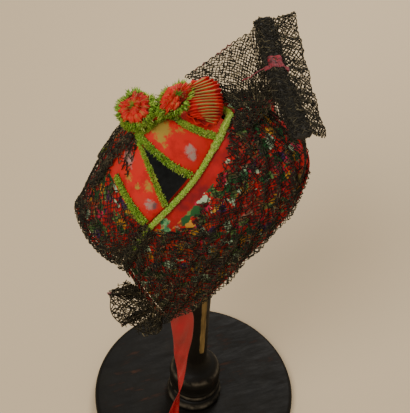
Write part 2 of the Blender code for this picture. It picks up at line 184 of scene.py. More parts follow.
def mappedSheet(name, cells, shape, material, nodes=(), wall=0.0, size=(0.1, 0.1), marks=None,
                closed=False):
    # A grid bent onto shape(u, v), with a Cloth UV in metres, optional marks(u, v) and a wall
    made = bmesh.new()
    cloth = made.loops.layers.uv.new("Cloth")
    bmesh.ops.create_grid(made, x_segments=cells[0], y_segments=cells[1], size=0.5)
    for face in made.faces:
        for loop in face.loops:
            loop[cloth].uv = ((loop.vert.co.x + 0.5) * size[0], (loop.vert.co.y + 0.5) * size[1])
    made.verts.ensure_lookup_table()
    u = np.array([vertex.co.x + 0.5 for vertex in made.verts])
    v = np.array([vertex.co.y + 0.5 for vertex in made.verts])
    if marks is not None:
        for label, values in marks(u, v).items():
            layer = made.verts.layers.float.new(label)
            for vertex, value in zip(made.verts, values):
                vertex[layer] = float(value)
    for vertex, place in zip(made.verts, shape(u, v)):
        vertex.co = place
    if closed:
        bmesh.ops.remove_doubles(made, verts=made.verts, dist=1e-6)
        bmesh.ops.holes_fill(made, edges=[edge for edge in made.edges if edge.is_boundary], sides=0)
        bmesh.ops.recalc_face_normals(made, faces=made.faces)
    else:
        made.normal_update()
        facing = sum(face.normal.dot(face.calc_center_median() - Vector(capMiddle)) for face in made.faces)
        if facing < 0:
            bmesh.ops.reverse_faces(made, faces=made.faces)
    data = bpy.data.meshes.new(name)
    made.to_mesh(data)
    made.free()
    piece = addPiece(name, data, material, nodes)
    if wall:
        solid = piece.modifiers.new("wall", "SOLIDIFY")
        solid.thickness = wall
        solid.offset = -1
        solid.use_even_offset = False
    return piece


def sheetArea(shape, cells):
    # The area of shape(u, v), summed over a grid
    u, v = np.meshgrid(np.linspace(0, 1, cells[0] + 1), np.linspace(0, 1, cells[1] + 1), indexing="ij")
    grid = shape(u.ravel(), v.ravel()).reshape(cells[0] + 1, cells[1] + 1, 3)
    corners = np.cross(grid[1:, :-1] - grid[:-1, :-1], grid[:-1, 1:] - grid[:-1, :-1])
    return float(np.linalg.norm(corners, axis=2).sum())


def unitShape(kind):
    # One small shape along +Z from 0 to 1, as arrays of corners and triangles
    made = bmesh.new()
    if kind == "knot":
        bmesh.ops.create_uvsphere(made, u_segments=4, v_segments=2, radius=1.0)
    else:
        tip = {"thread": 1.0, "tuft": 0.25}[kind]
        bmesh.ops.create_cone(made, cap_ends=True, segments=3, radius1=1.0, radius2=tip, depth=1.0)
        bmesh.ops.translate(made, verts=made.verts, vec=(0, 0, 0.5))
    bmesh.ops.triangulate(made, faces=made.faces)
    made.verts.index_update()
    corners = np.array([vertex.co for vertex in made.verts])
    triangles = np.array([[vertex.index for vertex in face.verts] for face in made.faces])
    made.free()
    return corners, triangles


shapes = {kind: unitShape(kind) for kind in ("thread", "tuft", "knot")}
triangleCounts = []


def copiesOf(kind, starts, ends, radius):
    # One copy of the small shape from each start to each end. A knot sits unturned at its start
    corners, triangles = shapes[kind]
    radius = np.broadcast_to(np.asarray(radius, float), (len(starts),))[:, None, None]
    if kind == "knot":
        verts = starts[:, None] + corners[None] * radius
    else:
        run = ends - starts
        helper = np.where(np.abs(unit(run)[:, 2:3]) > 0.9, (1.0, 0.0, 0.0), (0.0, 0.0, 1.0))
        aside = unit(np.cross(run, helper))
        other = unit(np.cross(run, aside)) * -1
        verts = starts[:, None] + run[:, None] * corners[None, :, 2:3]
        spoke = aside[:, None] * corners[None, :, 0:1] + other[:, None] * corners[None, :, 1:2]
        verts = verts + spoke * radius
    faces = triangles[None] + (np.arange(len(starts)) * len(corners))[:, None, None]
    return verts.reshape(-1, 3), faces.reshape(-1, 3), len(corners)


def joinedPiece(name, groups, material, nodes=()):
    # Joins many small copies into one mesh. groups: (kind, starts, ends, radius, tone)
    allVerts = []
    allFaces = []
    allTones = []
    offset = 0
    for kind, starts, ends, radius, tone in groups:
        verts, faces, each = copiesOf(kind, starts, ends, radius)
        allVerts.append(verts)
        allFaces.append(faces + offset)
        allTones.append(np.repeat(np.broadcast_to(tone, (len(starts),)), each))
        offset += len(verts)
    verts = np.vstack(allVerts)
    faces = np.vstack(allFaces)
    tones = np.concatenate(allTones)
    data = bpy.data.meshes.new(name)
    data.vertices.add(len(verts))
    data.vertices.foreach_set("co", verts.astype(np.float32).ravel())
    data.loops.add(faces.size)
    data.loops.foreach_set("vertex_index", faces.astype(np.int32).ravel())
    data.polygons.add(len(faces))
    data.polygons.foreach_set("loop_start", np.arange(0, faces.size, 3, dtype=np.int32))
    layer = data.attributes.new("tone", "FLOAT", "POINT")
    layer.data.foreach_set("value", tones.astype(np.float32))
    data.update(calc_edges=True)
    triangleCounts.append(len(faces))
    return addPiece(name, data, material, nodes, smooth=False)


# Finishes

def colour(*screen):
    # Screen colour from 0 to 255 made linear
    linear = [(c / 255 / 12.92) if c < 11 else ((c / 255 + 0.055) / 1.055) ** 2.4 for c in screen]
    return tuple(linear) + (1.0,)


class Finish:
    # A material being made: adds nodes and joins their sockets
    def __init__(self, name, roughness, **sockets):
        self.material = bpy.data.materials.new(name)
        self.material.use_nodes = True
        self.tree = self.material.node_tree
        self.shader = self.tree.nodes["Principled BSDF"]
        self.shader.inputs["Roughness"].default_value = roughness
        for label, value in sockets.items():
            self.shader.inputs[label.replace("_", " ")].default_value = value
        self.place = self.add("ShaderNodeTexCoord").outputs["Object"]

    def add(self, kind, inputs=None, **settings):
        made = self.tree.nodes.new(kind)
        for label, value in settings.items():
            setattr(made, label, value)
        for label, value in (inputs or {}).items():
            if isinstance(value, bpy.types.NodeSocket):
                self.tree.links.new(value, made.inputs[label])
            else:
                made.inputs[label].default_value = value
        return made

    def noise(self, scale, detail=3.0, rough=0.55, place=None):
        return self.add("ShaderNodeTexNoise", {
            "Vector": place or self.place, "Scale": scale, "Detail": detail, "Roughness": rough,
        }).outputs["Fac"]

    def ramp(self, value, stops, sharp=False):
        made = self.add("ShaderNodeValToRGB", {"Fac": value})
        made.color_ramp.interpolation = "CONSTANT" if sharp else "LINEAR"
        while len(made.color_ramp.elements) < len(stops):
            made.color_ramp.elements.new(1.0)
        for element, (position, shade) in zip(made.color_ramp.elements, stops):
            element.position = position
            element.color = shade
        return made.outputs["Color"]

    def mix(self, factor, first, second):
        made = self.add("ShaderNodeMix", data_type="RGBA")
        for index, value in ((0, factor), (6, first), (7, second)):
            if isinstance(value, bpy.types.NodeSocket):
                self.tree.links.new(value, made.inputs[index])
            else:
                made.inputs[index].default_value = value
        return made.outputs[2]

    def sum(self, operation, first, second):
        return self.add("ShaderNodeMath", {0: first, 1: second}, operation=operation).outputs[0]

    def step(self, value, low, high):
        inputs = {"Value": value, "From Min": low, "From Max": high}
        return self.add("ShaderNodeMapRange", inputs).outputs["Result"]

    def mark(self, label):
        return self.add("ShaderNodeAttribute", attribute_name=label).outputs["Fac"]

    def bump(self, height, distance, strength=1.0, after=None):
        inputs = {"Height": height, "Distance": distance, "Strength": strength}
        if after:
            inputs["Normal"] = after
        return self.add("ShaderNodeBump", inputs).outputs["Normal"]

    def clothUv(self):
        return self.add("ShaderNodeUVMap", uv_map="Cloth").outputs["UV"]

    def wave(self, way, **inputs):
        return self.add("ShaderNodeTexWave", inputs, bands_direction=way).outputs["Fac"]

    def weave(self, pitch):
        # Threads crossing at the given pitch, from the Cloth UV in metres
        uv = self.clothUv()
        scale = 0.314 / pitch
        both = [self.wave(way, Vector=uv, Scale=scale, Distortion=0.6, Detail=1.0) for way in ("X", "Y")]
        return self.sum("MAXIMUM", *both)

    def stretched(self, scale, turned=(0, 0, 0)):
        return self.add("ShaderNodeMapping", {
            "Vector": self.place, "Scale": scale, "Rotation": turned,
        }).outputs["Vector"]

    def finish(self, baseColour, normal=None):
        self.tree.links.new(baseColour, self.shader.inputs["Base Color"])
        if normal:
            self.tree.links.new(normal, self.shader.inputs["Normal"])
        return self.material


floralInks = {
    "red": colour(186, 16, 14), "deepRed": colour(112, 8, 14), "green": colour(30, 84, 36),
    "mint": colour(176, 200, 160), "gold": colour(206, 142, 40), "violet": colour(58, 26, 74),
    "pink": colour(190, 30, 66), "orange": colour(196, 58, 18), "leaf": colour(96, 128, 60),
}


def floralPrint(made, plainMark=None):
    # Small many-coloured flowers on red: cells of ink with ragged edges
    wander = made.add("ShaderNodeTexNoise", {"Vector": made.place, "Scale": 190.0, "Detail": 2.0})
    mixed = {"Fac": 0.012, "Color1": made.place, "Color2": wander.outputs["Color"]}
    place = made.add("ShaderNodeMixRGB", mixed).outputs[0]
    cells = made.add("ShaderNodeTexVoronoi", {"Vector": place, "Scale": 150.0, "Randomness": 1.0})
    pick = made.add("ShaderNodeSeparateColor", {"Color": cells.outputs["Color"]}).outputs["Red"]
    ink = floralInks
    flowers = made.ramp(pick, (
        (0.00, ink["red"]), (0.24, ink["deepRed"]), (0.33, ink["green"]), (0.49, ink["mint"]),
        (0.58, ink["red"]), (0.68, ink["gold"]), (0.76, ink["violet"]), (0.83, ink["leaf"]),
        (0.91, ink["pink"]), (0.96, ink["orange"]),
    ), sharp=True)
    clumps = made.step(made.noise(34.0, 2.0), 0.34, 0.46)
    if plainMark:
        plainEdge = made.sum("ADD", plainMark, made.noise(210.0))
        clumps = made.sum("MULTIPLY", clumps, made.step(plainEdge, 1.15, 1.0))
    return made.mix(clumps, made.ramp(made.noise(60.0), ((0.3, ink["red"]), (0.7, ink["deepRed"]))), flowers)


def makeFinishes():
    done = {}
    made = Finish("bandPrint", 0.9)
    cloth = floralPrint(made, made.mark("plain"))
    leafEdge = made.sum("ADD", made.mark("leaf"), made.sum("MULTIPLY", made.noise(420.0, 4.0, 0.7), 1.2))
    cloth = made.mix(made.step(leafEdge, 1.0, 1.12), cloth, made.ramp(made.noise(260.0), (
        (0.4, colour(36, 104, 62)), (0.6, colour(122, 176, 112)),
    )))
    normal = made.bump(made.weave(0.0007), 0.0002, 0.5)
    done["bandPrint"] = made.finish(cloth, normal)

    made = Finish("backPrint", 0.88)
    ragged = made.noise(330.0, 5.0, 0.75)
    washed = made.ramp(made.noise(90.0, 4.0), (
        (0.25, colour(164, 10, 4)), (0.5, colour(206, 24, 9)), (0.8, colour(196, 44, 24)),
    ))
    blotInks = {"olive": colour(152, 140, 50), "grey": colour(158, 140, 128), "slate": colour(78, 72, 76)}
    for label, ink in blotInks.items():
        edge = made.sum("ADD", made.mark(label), made.sum("MULTIPLY", ragged, 1.7))
        washed = made.mix(made.sum("MULTIPLY", made.step(edge, 1.28, 1.62), 0.85), washed, ink)
    washed = made.mix(made.step(made.mark("floral"), 0.4, 0.6), washed, floralPrint(made))
    normal = made.bump(made.weave(0.0006), 0.00018, 0.45)
    done["backPrint"] = made.finish(washed, normal)

    made = Finish("binding", 0.85)
    base = made.ramp(made.noise(70.0), (
        (0.3, colour(150, 8, 10)), (0.62, colour(200, 24, 18)), (0.78, colour(120, 124, 56)),
    ))
    done["binding"] = made.finish(base, made.bump(made.noise(900.0, 2.0), 0.0003, 0.6))

    made = Finish("chenille", 0.92)
    # Tones near 0 are near black: painted shade for the gaps between tufts
    base = made.ramp(made.mark("tone"), (
        (0.0, colour(10, 12, 7)), (0.10, colour(20, 36, 8)), (0.2, colour(52, 92, 14)),
        (0.55, colour(112, 158, 30)), (0.85, colour(160, 192, 62)), (1.0, colour(206, 218, 122)),
    ))
    drift = made.mix(made.step(made.noise(60.0), 0.42, 0.7), base, made.mix(0.35, base, colour(200, 186, 70)))
    done["chenille"] = made.finish(drift)

    made = Finish("velvet", 0.95, Specular_IOR_Level=0.15, Sheen_Weight=0.08)
    base = made.ramp(made.noise(300.0, 3.0), ((0.3, colour(7, 8, 8)), (0.8, colour(22, 24, 24))))
    done["velvet"] = made.finish(base, made.bump(made.noise(1600.0, 3.0), 0.0004, 0.8))

    made = Finish("ruche", 0.85)
    red = made.ramp(made.noise(120.0, 3.0), (
        (0.3, colour(134, 5, 4)), (0.55, colour(200, 22, 10)), (0.85, colour(188, 66, 20)),
    ))
    ragged = made.sum("MULTIPLY", made.noise(420.0), 0.5)
    streaks = made.step(made.sum("ADD", made.mark("stripe"), ragged), 0.62, 0.86)
    base = made.mix(streaks, red, colour(150, 132, 62))
    done["ruche"] = made.finish(base, made.bump(made.noise(1100.0, 2.0), 0.0003, 0.5))

    made = Finish("lace", 0.85, Specular_IOR_Level=0.25)
    base = made.ramp(made.mark("tone"), (
        (0.0, colour(17, 15, 10)), (0.45, colour(38, 34, 23)),
        (0.75, colour(68, 61, 43)), (1.0, colour(112, 101, 72)),
    ))
    done["lace"] = made.finish(base)

    made = Finish("laceFold", 0.85)
    base = made.ramp(made.noise(700.0, 4.0, 0.7), (
        (0.3, colour(14, 12, 8)), (0.62, colour(38, 34, 23)), (0.8, colour(66, 58, 40)),
    ))
    done["laceFold"] = made.finish(base, made.bump(made.noise(900.0, 3.0), 0.0006, 0.9))

    made = Finish("crimsonThread", 0.6, Sheen_Weight=0.3)
    base = made.ramp(made.mark("tone"), ((0.0, colour(84, 2, 16)), (1.0, colour(150, 6, 30))))
    done["crimsonThread"] = made.finish(base)

    made = Finish("darkScrap", 0.8)
    base = made.ramp(made.noise(400.0), ((0.35, colour(44, 14, 16)), (0.6, colour(136, 16, 32))))
    done["darkScrap"] = made.finish(base)

    made = Finish("satin", 0.34, Specular_IOR_Level=0.4)
    base = made.ramp(made.noise(26.0, 2.0), ((0.3, colour(146, 0, 14)), (0.7, colour(182, 0, 26))))
    ribs = made.wave("Y", Vector=made.clothUv(), Scale=700.0, Distortion=0.4)
    done["satin"] = made.finish(base, made.bump(ribs, 0.0001, 0.25))

    made = Finish("blackWood", 0.7, Specular_IOR_Level=0.16)
    paint = made.ramp(made.noise(30.0, 5.0, 0.6), (
        (0.3, colour(10, 8, 5)), (0.65, colour(18, 15, 9)), (0.85, colour(32, 24, 14)),
    ))
    stretch = made.stretched((160.0, 34.0, 60.0), (0, 0, 0.6))
    scuffs = made.noise(1.0, 5.0, 0.7, stretch)
    patches = made.step(made.noise(16.0, 3.0), 0.50, 0.66)
    worn = made.sum("MULTIPLY", made.step(scuffs, 0.57, 0.68), patches)
    paint = made.mix(made.sum("MULTIPLY", worn, 0.55), paint, colour(78, 46, 30))
    # Painted highlight: a lighter grey-brown along the ridges of the turned rings, broken up by noise
    paintedRingHighlight = made.sum("MULTIPLY", made.mark("paintedRingHighlight"), made.step(made.noise(120.0, 4.0), 0.35, 0.62))
    paint = made.mix(paintedRingHighlight, paint, colour(86, 78, 64))
    bare = made.mark("bare")
    grain = made.stretched((420.0, 420.0, 60.0))
    ragged = made.sum("MULTIPLY", made.noise(1.0, 4.0, 0.6, grain), 0.7)
    bareEdge = made.step(made.sum("ADD", bare, ragged), 0.84, 0.98)
    wood = made.noise(1.0, 3.0, 0.5, grain)
    wood = made.ramp(wood, ((0.3, colour(104, 84, 46)), (0.7, colour(150, 124, 74))))
    paint = made.mix(bareEdge, paint, wood)
    made.tree.links.new(made.step(scuffs, -0.45, 1.15), made.shader.inputs["Roughness"])
    done["blackWood"] = made.finish(paint, made.bump(made.noise(220.0, 4.0), 0.0004, 0.35))
    return done


finishes = makeFinishes()
print("finishes made:", len(finishes))

# Printed cotton shell

shellCloth = {
    "wall": 0.0017, "sag": 0.0005, "meet": 0.998,
    # cells, the print's size on the Cloth UV, then the size and area measured on the modelled surface
    "band": (170, 38), "bandPrint": (0.46, 0.085), "bandFlat": (0.49, 0.089), "bandArea": 0.0317,
    "panel": (72, 84), "panelPrint": (0.12, 0.15), "panelFlat": (0.134, 0.177), "panelArea": 0.0167,
    "panelTop": 0.05, "floralFrom": 0.735,
    # place down the side and reach of the green leaves
    "leaves": ((-0.655, 0.90), (-0.685, 0.84), (-0.36, 0.60), (0.5, 0.8)), "leafHalf": (0.022, 0.05),
    # name, level, turn on the near half, size, strength
    "blots": (
        ("olive", 0.352, 0.24, 0.044, 1.1), ("olive", 0.385, 0.34, 0.030, 0.9),
        ("olive", 0.320, 0.18, 0.028, 0.9), ("olive", 0.285, 0.42, 0.020, 0.8),
        ("olive", 0.40, 0.46, 0.016, 0.7), ("grey", 0.335, 0.74, 0.022, 0.95),
        ("grey", 0.355, 0.82, 0.018, 0.9), ("grey", 0.640, 0.76, 0.026, 0.9),
        ("olive", 0.590, 0.60, 0.022, 0.85), ("olive", 0.64, 0.48, 0.014, 0.8),
        ("slate", 0.345, 0.06, 0.022, 0.95), ("slate", 0.625, 0.84, 0.016, 0.8),
        ("grey", 0.600, 0.17, 0.030, 0.9), ("slate", 0.570, 0.08, 0.024, 0.9),
        ("olive", 0.655, 0.30, 0.020, 0.8), ("olive", 0.36, -0.35, 0.05, 1.0),
        ("grey", 0.45, -0.60, 0.04, 0.9), ("olive", 0.60, -0.5, 0.05, 0.9),
    ),
}


def makeShell():
    band = shellCloth["band"]

    def bandShape(u, v):
        side = 2 * u - 1
        reach = v * shellCloth["meet"]
        base = bandSurface(side, reach)
        return base + normalAt(bandSurface, side, reach) * ripple(base, 0.028, shellCloth["sag"], 3)[:, None]

    def bandMarks(u, v):
        side = 2 * u - 1
        reach = v * 0.985
        leaf = [spot(side, reach, place, shellCloth["leafHalf"]) for place in shellCloth["leaves"]]
        plain = held((reach - 0.78) / 0.06) * held((0.70 - np.abs(side)) / 0.04)
        return {"leaf": np.max(leaf, axis=0), "plain": plain}
    piece = mappedSheet("sideBand", band, bandShape, finishes["bandPrint"], ("side_band",),
                        shellCloth["wall"], shellCloth["bandPrint"], bandMarks)
    area = sheetArea(bandShape, band)
    print(f"  side band {area * 1e4:.0f} square centimetres")

    def panelPlace(u, v):
        top = shellCloth["panelTop"]
        return top + (1 - top) * v, (2 * u - 1) * shellCloth["meet"]

    def panelShape(u, v):
        level, turn = panelPlace(u, v)
        base = panelSurface(level, turn)
        return base + normalAt(panelSurface, level, turn) * ripple(base, 0.022, shellCloth["sag"], 5)[:, None]

    def panelMarks(u, v):
        level, turn = panelPlace(u, v)
        marks = {label: np.zeros(len(u)) for label in ("olive", "grey", "slate")}
        for label, atLevel, atTurn, size, strength in shellCloth["blots"]:
            away = ((level - atLevel) / size) ** 2 + ((turn + atTurn) * 0.32 / size) ** 2
            marks[label] = np.maximum(marks[label], strength * np.exp(-0.5 * away))
        marks["floral"] = (level > shellCloth["floralFrom"]).astype(float)
        return marks
    piece = mappedSheet("backPanel", shellCloth["panel"], panelShape, finishes["backPrint"],
                        ("back_panel",), shellCloth["wall"], shellCloth["panelPrint"], panelMarks)
    area = sheetArea(panelShape, shellCloth["panel"])
    print(f"  back panel {area * 1e4:.0f} square centimetres")


lumpPitch = 0.0032


def tubeAlong(name, points, radius, material, nodes, sides=14, lump=0.0, twist=0.0):
    # A soft round binding along a line of points
    count = len(points)
    ahead = unit(np.gradient(points, axis=0))
    outward = unit(points - capMiddle)
    aside = unit(np.cross(ahead, outward))
    other = np.cross(aside, ahead)
    length = np.linalg.norm(np.diff(points, axis=0), axis=1).sum()

    def shape(u, v):
        place = np.clip(v * (count - 1), 0, count - 1.0001)
        index = place.astype(int)
        part = (place - index)[:, None]
        angle = u * 2 * math.pi + twist * v
        size = radius * (1 + lump * np.sin(v * length / lumpPitch * 2 * math.pi + 2 * angle))
        middle, sideways, upward = (
            rows[index] * (1 - part) + rows[index + 1] * part for rows in (points, aside, other)
        )
        return middle + (sideways * np.cos(angle)[:, None] + upward * np.sin(angle)[:, None]) * size[:, None]
    return mappedSheet(name, (sides, count * 2), shape, material, nodes,
                       size=(radius * 6.28, length), closed=True)


bindingForm = {"radius": 0.0016, "off": 0.0022, "neckOff": 0.0004, "sunk": 0.0009, "lump": 0.08, "tip": 0.985}


def makeBindings():
    off = bindingForm["off"]
    radius = bindingForm["radius"]
    lump = bindingForm["lump"]
    side = np.linspace(-bindingForm["tip"], bindingForm["tip"], 180)
    edge = bandSurface(side, 0.0)
    outward = unit(edge - bandSurface(side, 0.06))
    sunk = normalAt(bandSurface, side, np.full(180, 0.01)) * bindingForm["sunk"]
    tubeAlong("faceBinding", edge + outward * off - sunk, radius,
              finishes["binding"], ("face_binding",), lump=lump)
    reach = np.linspace(0.03, 0.97, 40)
    turn = np.linspace(-0.97, 0.97, 90)
    edge = np.vstack([bandSurface(-1.0, reach), panelSurface(1.0, turn), bandSurface(1.0, reach)[::-1]])
    inner = np.vstack([bandSurface(-0.95, reach), panelSurface(0.96, turn), bandSurface(0.95, reach)[::-1]])
    tubeAlong("neckBinding", edge + unit(edge - inner) * (off + bindingForm["neckOff"]), radius,
              finishes["binding"], ("neck_binding",), lump=lump)


makeShell()
makeBindings()
print("shell and bindings made")

# Chenille, braid and velvet on the back panel

chenilleTrim = {
    # name, start and end on the panel as (level, turn), width in metres
    "strips": (
        ("upper", (0.270, 0.02), (0.205, 0.90), 0.0040),
        ("middle", (0.475, 0.12), (0.425, 0.94), 0.0038),
        ("lower", (0.470, 0.02), (0.585, 0.94), 0.0028),
        ("short", (0.705, 0.15), (0.715, 0.88), 0.0050),
    ),
    "tufts": 1300, "tuftLength": 0.0022, "tuftRadius": 0.00046, "shadeSpecks": 0.06, "farShortFrom": 0.40,
}
braidForm = {
    "tip": 0.955, "reach": 0.985, "lift": 0.0022, "coreRadius": 0.0017, "coreTone": 0.6, "lump": 0.12,
    "tufts": 9000, "tuftRadius": 0.0004, "tuftLength": (0.0011, 0.0021), "root": 0.0013,
    # the braid is fluffier over the crown
    "crown": 0.30, "crownFuzz": 1.35, "sideFuzz": 0.85,
}


def tuftsOn(centres, normals, asides, spread, length, radius, tones):
    # Starts and ends of tufts that lean outward as they leave their yarn
    count = len(centres)
    across = rng.uniform(-1, 1, count)
    starts = centres + asides * (across * spread * 0.5)[:, None]
    lift = rng.uniform(0.35, 1.1, count)[:, None]
    lean = unit(normals * lift + asides * (across * 0.9)[:, None] + rng.normal(0, 0.33, (count, 3)))
    size = length * rng.uniform(0.55, 1.15, count)
    return "tuft", starts, starts + lean * size[:, None], radius * rng.uniform(0.8, 1.3, count), tones


def greenPiece(name, groups, nodes=()):
    joinedPiece(name, groups, finishes["chenille"], nodes)


def greenTones(count, shadeSpecks):
    # A share of near-black tufts paints the shade in gaps of the pile
    tones = np.clip(rng.normal(0.58, 0.2, count), 0.16, 1.0)
    return np.where(rng.random(count) < shadeSpecks, rng.uniform(0, 0.08, count), tones)


def makeChenille():
    for hand, sign in (("near", -1), ("far", 1)):
        for label, start, end, width in chenilleTrim["strips"]:
            count = chenilleTrim["tufts"]
            along = rng.random(count)
            first = chenilleTrim["farShortFrom"] if sign > 0 and label == "short" else start[1]
            level = start[0] + (end[0] - start[0]) * along
            turn = sign * (first + (end[1] - first) * along)
            normals = normalAt(panelSurface, level, turn)
            further = panelSurface(level + (end[0] - start[0]) * 0.01, turn + sign * 0.01)
            run = unit(further - panelSurface(level, turn))
            asides = np.cross(normals, run)
            tufts = tuftsOn(offSurface(panelSurface, level, turn, 0.0009), normals, asides, width,
                            chenilleTrim["tuftLength"], chenilleTrim["tuftRadius"], greenTones(count, 0.05))
            # Near-black knots along both edges of the strip paint the shade in gaps at its borders
            shadeSpecks = round(count * chenilleTrim["shadeSpecks"])
            edge = np.where(rng.random(shadeSpecks) < 0.5, -1.0, 1.0)
            pick = rng.integers(0, count, shadeSpecks)
            places = offSurface(panelSurface, level[pick], turn[pick], 0.0012)
            places = places + asides[pick] * (edge * width * 0.55)[:, None]
            black = ("knot", places, places, rng.uniform(0.0004, 0.0010, shadeSpecks), np.zeros(shadeSpecks))
            greenPiece(f"chenille{label.capitalize()}{hand.capitalize()}", [tufts, black],
                       (f"chenille_{label}_{hand}",))

    tip, reach, lift = (braidForm[label] for label in ("tip", "reach", "lift"))
    line = offSurface(bandSurface, np.linspace(-tip, tip, 220), reach, lift)
    core = tubeAlong("seamBraidCore", line, braidForm["coreRadius"], finishes["chenille"],
                     (), lump=braidForm["lump"])
    layer = core.data.attributes.new("tone", "FLOAT", "POINT")
    layer.data.foreach_set("value", np.full(len(core.data.vertices), braidForm["coreTone"], np.float32))
    count = braidForm["tufts"]
    side = rng.uniform(-tip, tip, count)
    normals = normalAt(bandSurface, side, np.full(count, reach))
    run = unit(bandSurface(side + 0.004, reach) - bandSurface(side - 0.004, reach))
    asides = np.cross(normals, run)
    angle = rng.uniform(-1.9, 1.9, count)[:, None]
    out = normals * np.cos(angle) + asides * np.sin(angle)
    fuzz = np.where(np.abs(side) < braidForm["crown"], braidForm["crownFuzz"], braidForm["sideFuzz"])[:, None]
    starts = offSurface(bandSurface, side, reach, lift) + out * braidForm["root"]
    lean = unit(out + run * 0.9 + rng.normal(0, 0.25, (count, 3)))
    ends = starts + lean * fuzz * rng.uniform(*braidForm["tuftLength"], count)[:, None]
    tufts = ("tuft", starts, ends, braidForm["tuftRadius"], greenTones(count, 0.02) + 0.2)
    greenPiece("seamBraid", [tufts], ("seam_braid",))


velvetPatch = {
    # corners on the panel as (level, turn)
    "apex": (0.478, 0.22), "upper": (0.432, 0.92), "lower": (0.572, 0.93),
    "wall": 0.001, "lift": 0.0016, "pile": 0.0004,
}


def makeVelvet():
    for hand, sign in (("near", -1), ("far", 1)):
        def shape(u, v, sign=sign):
            apex, upper, lower = (velvetPatch[label] for label in ("apex", "upper", "lower"))
            base = [upper[i] + (lower[i] - upper[i]) * u for i in (0, 1)]
            place = [apex[i] + (base[i] - apex[i]) * (0.03 + 0.97 * v) for i in (0, 1)]
            height = velvetPatch["lift"] + velvetPatch["pile"] * np.sin(v * 9) * np.sin(u * 7)
            return offSurface(panelSurface, place[0], sign * place[1], height)
        mappedSheet(f"velvet{hand.capitalize()}", (24, 36), shape, finishes["velvet"],
                    (f"velvet_{hand}",), velvetPatch["wall"])


makeChenille()
makeVelvet()
print("chenille, braid and velvet made")

# Net lace

laceYarn = {"thread": 0.00034, "heavy": 0.00046, "standing": 0.00040, "rim": 0.0005}


def netOver(shape, span, cell, jitter=0.14, keep=None, heavy=0.15, skip=0.02, radius=None, tone=0.45):
    # A knotted diamond net over shape(u, v), whose sides measure span, as groups for joinedPiece.
    # keep(u, v) gives the share of threads that stay, heavy the share of thick ones
    columns, rows = max(2, round(span[0] / cell[0])), max(2, round(span[1] / cell[1]))
    i, j = np.meshgrid(np.arange(columns), np.arange(rows + 1), indexing="ij")
    u = np.clip((i + 0.25 + 0.5 * (j % 2) + rng.normal(0, jitter, i.shape)) / columns, 0, 1)
    inside = (j > 0) & (j < rows)
    v = np.clip((j + rng.normal(0, jitter, i.shape) * inside) / rows, 0, 1)
    points = shape(u.ravel(), v.ravel()).reshape(columns, rows + 1, 3)
    even = np.arange(rows) % 2 == 0
    left = np.where(even, 1, 0)[None, :] + i[:-1, :-1]
    right = np.where(even, 0, 1)[None, :] + i[:-1, 1:]
    pairs = [((i[:, :-1], j[:, :-1]), (i[:, :-1], j[:, 1:])), ((left, j[:-1, :-1]), (right, j[:-1, 1:]))]
    starts = np.vstack([points[a].reshape(-1, 3) for a, _ in pairs])
    ends = np.vstack([points[b].reshape(-1, 3) for _, b in pairs])
    where = np.vstack([np.stack([u[a].ravel(), v[a].ravel()], 1) for a, _ in pairs])
    chance = np.full(len(starts), 1 - skip)
    if keep is not None:
        chance = chance * keep(where[:, 0], where[:, 1])
    used = rng.random(len(starts)) < chance
    starts = starts[used]
    ends = ends[used]
    thin = laceYarn["thread"] if radius is None else radius
    size = np.where(rng.random(len(starts)) < heavy, thin * 1.4, thin)
    tones = np.clip(rng.normal(tone, 0.24, len(starts)), 0, 1)
    return [
        ("thread", starts, ends, size, tones),
        ("knot", starts, starts, size * rng.uniform(1.2, 1.9, len(starts)), tones),
    ]


def lacePiece(name, groups, nodes=(), finish="lace"):
    joinedPiece(name, groups, finishes[finish], nodes)


def lineOf(points, radius, tones):
    # One thread through a line of points
    return "thread", points[:-1], points[1:], radius, tones


def wavyThreads(shape, count, steps, uRange, vRange, wander, loops, radius, tone=0.3):
    # Loose thick threads that run along u and wander in v
    t = np.linspace(0, 1, steps)[None]
    phase = rng.uniform(0, 6.28, (count, 1))
    start = rng.uniform(*vRange, (count, 1))
    span = rng.uniform(0.2, 0.55, (count, 1)) * (uRange[1] - uRange[0])
    first = rng.uniform(0, 1, (count, 1)) * (uRange[1] - uRange[0] - span) + uRange[0]
    u = first + span * t + loops[0] * np.sin(t * 60 + phase)
    v = start + wander * np.sin(t * 5 + phase) + loops[1] * np.cos(t * 60 + phase)
    v = v + rng.uniform(-1, 1, (count, 1)) * t * wander
    points = shape(held(u).ravel(), held(v).ravel()).reshape(count, steps, 3)
    starts = points[:, :-1].reshape(-1, 3)
    ends = points[:, 1:].reshape(-1, 3)
    size = radius * rng.uniform(0.8, 1.2, len(starts))
    return [("thread", starts, ends, size, held(rng.normal(tone, 0.15, len(starts))))]


def bandBeyond(side, reach):
    # The side band carried on past its ear tips
    inner = np.clip(side, -1, 1)
    base = bandSurface(inner, reach)
    return base + (base - bandSurface(inner * 0.97, reach)) / 0.03 * held(np.abs(side) - 1)[..., None]


def panelBeyond(level, turn):
    # The back panel carried on past its neck edge
    inner = held(level)
    base = panelSurface(inner, turn)
    return base + (base - panelSurface(inner - 0.03, turn)) / 0.03 * held(level - 1)[..., None]


sideLace = {
    # place down the side, reach of the free edge
    "edge": (
        (0.00, 0.93), (0.10, 0.93), (0.20, 0.90), (0.30, 0.85), (0.40, 0.82), (0.50, 0.80),
        (0.60, 0.73), (0.66, 0.80), (0.72, 0.96), (0.86, 0.985), (1.00, 0.985),
    ),
    "scallops": 17, "scallopDepth": 0.045, "lift": 0.0013, "upperLift": 0.0021, "over": 0.036,
    "length": 0.215, "width": 0.088, "foldPitch": 0.0135, "foldHeight": 0.0022,
    "cell": (0.0040, 0.0022), "upperCell": (0.0038, 0.0022), "thickCell": (0.0034, 0.0022),
    "farStretch": 1.15,
    # the net over the braid's lower end
    "seamSpan": (0.068, 0.020), "seamLift": 0.0018, "seamArch": 0.0038,
}


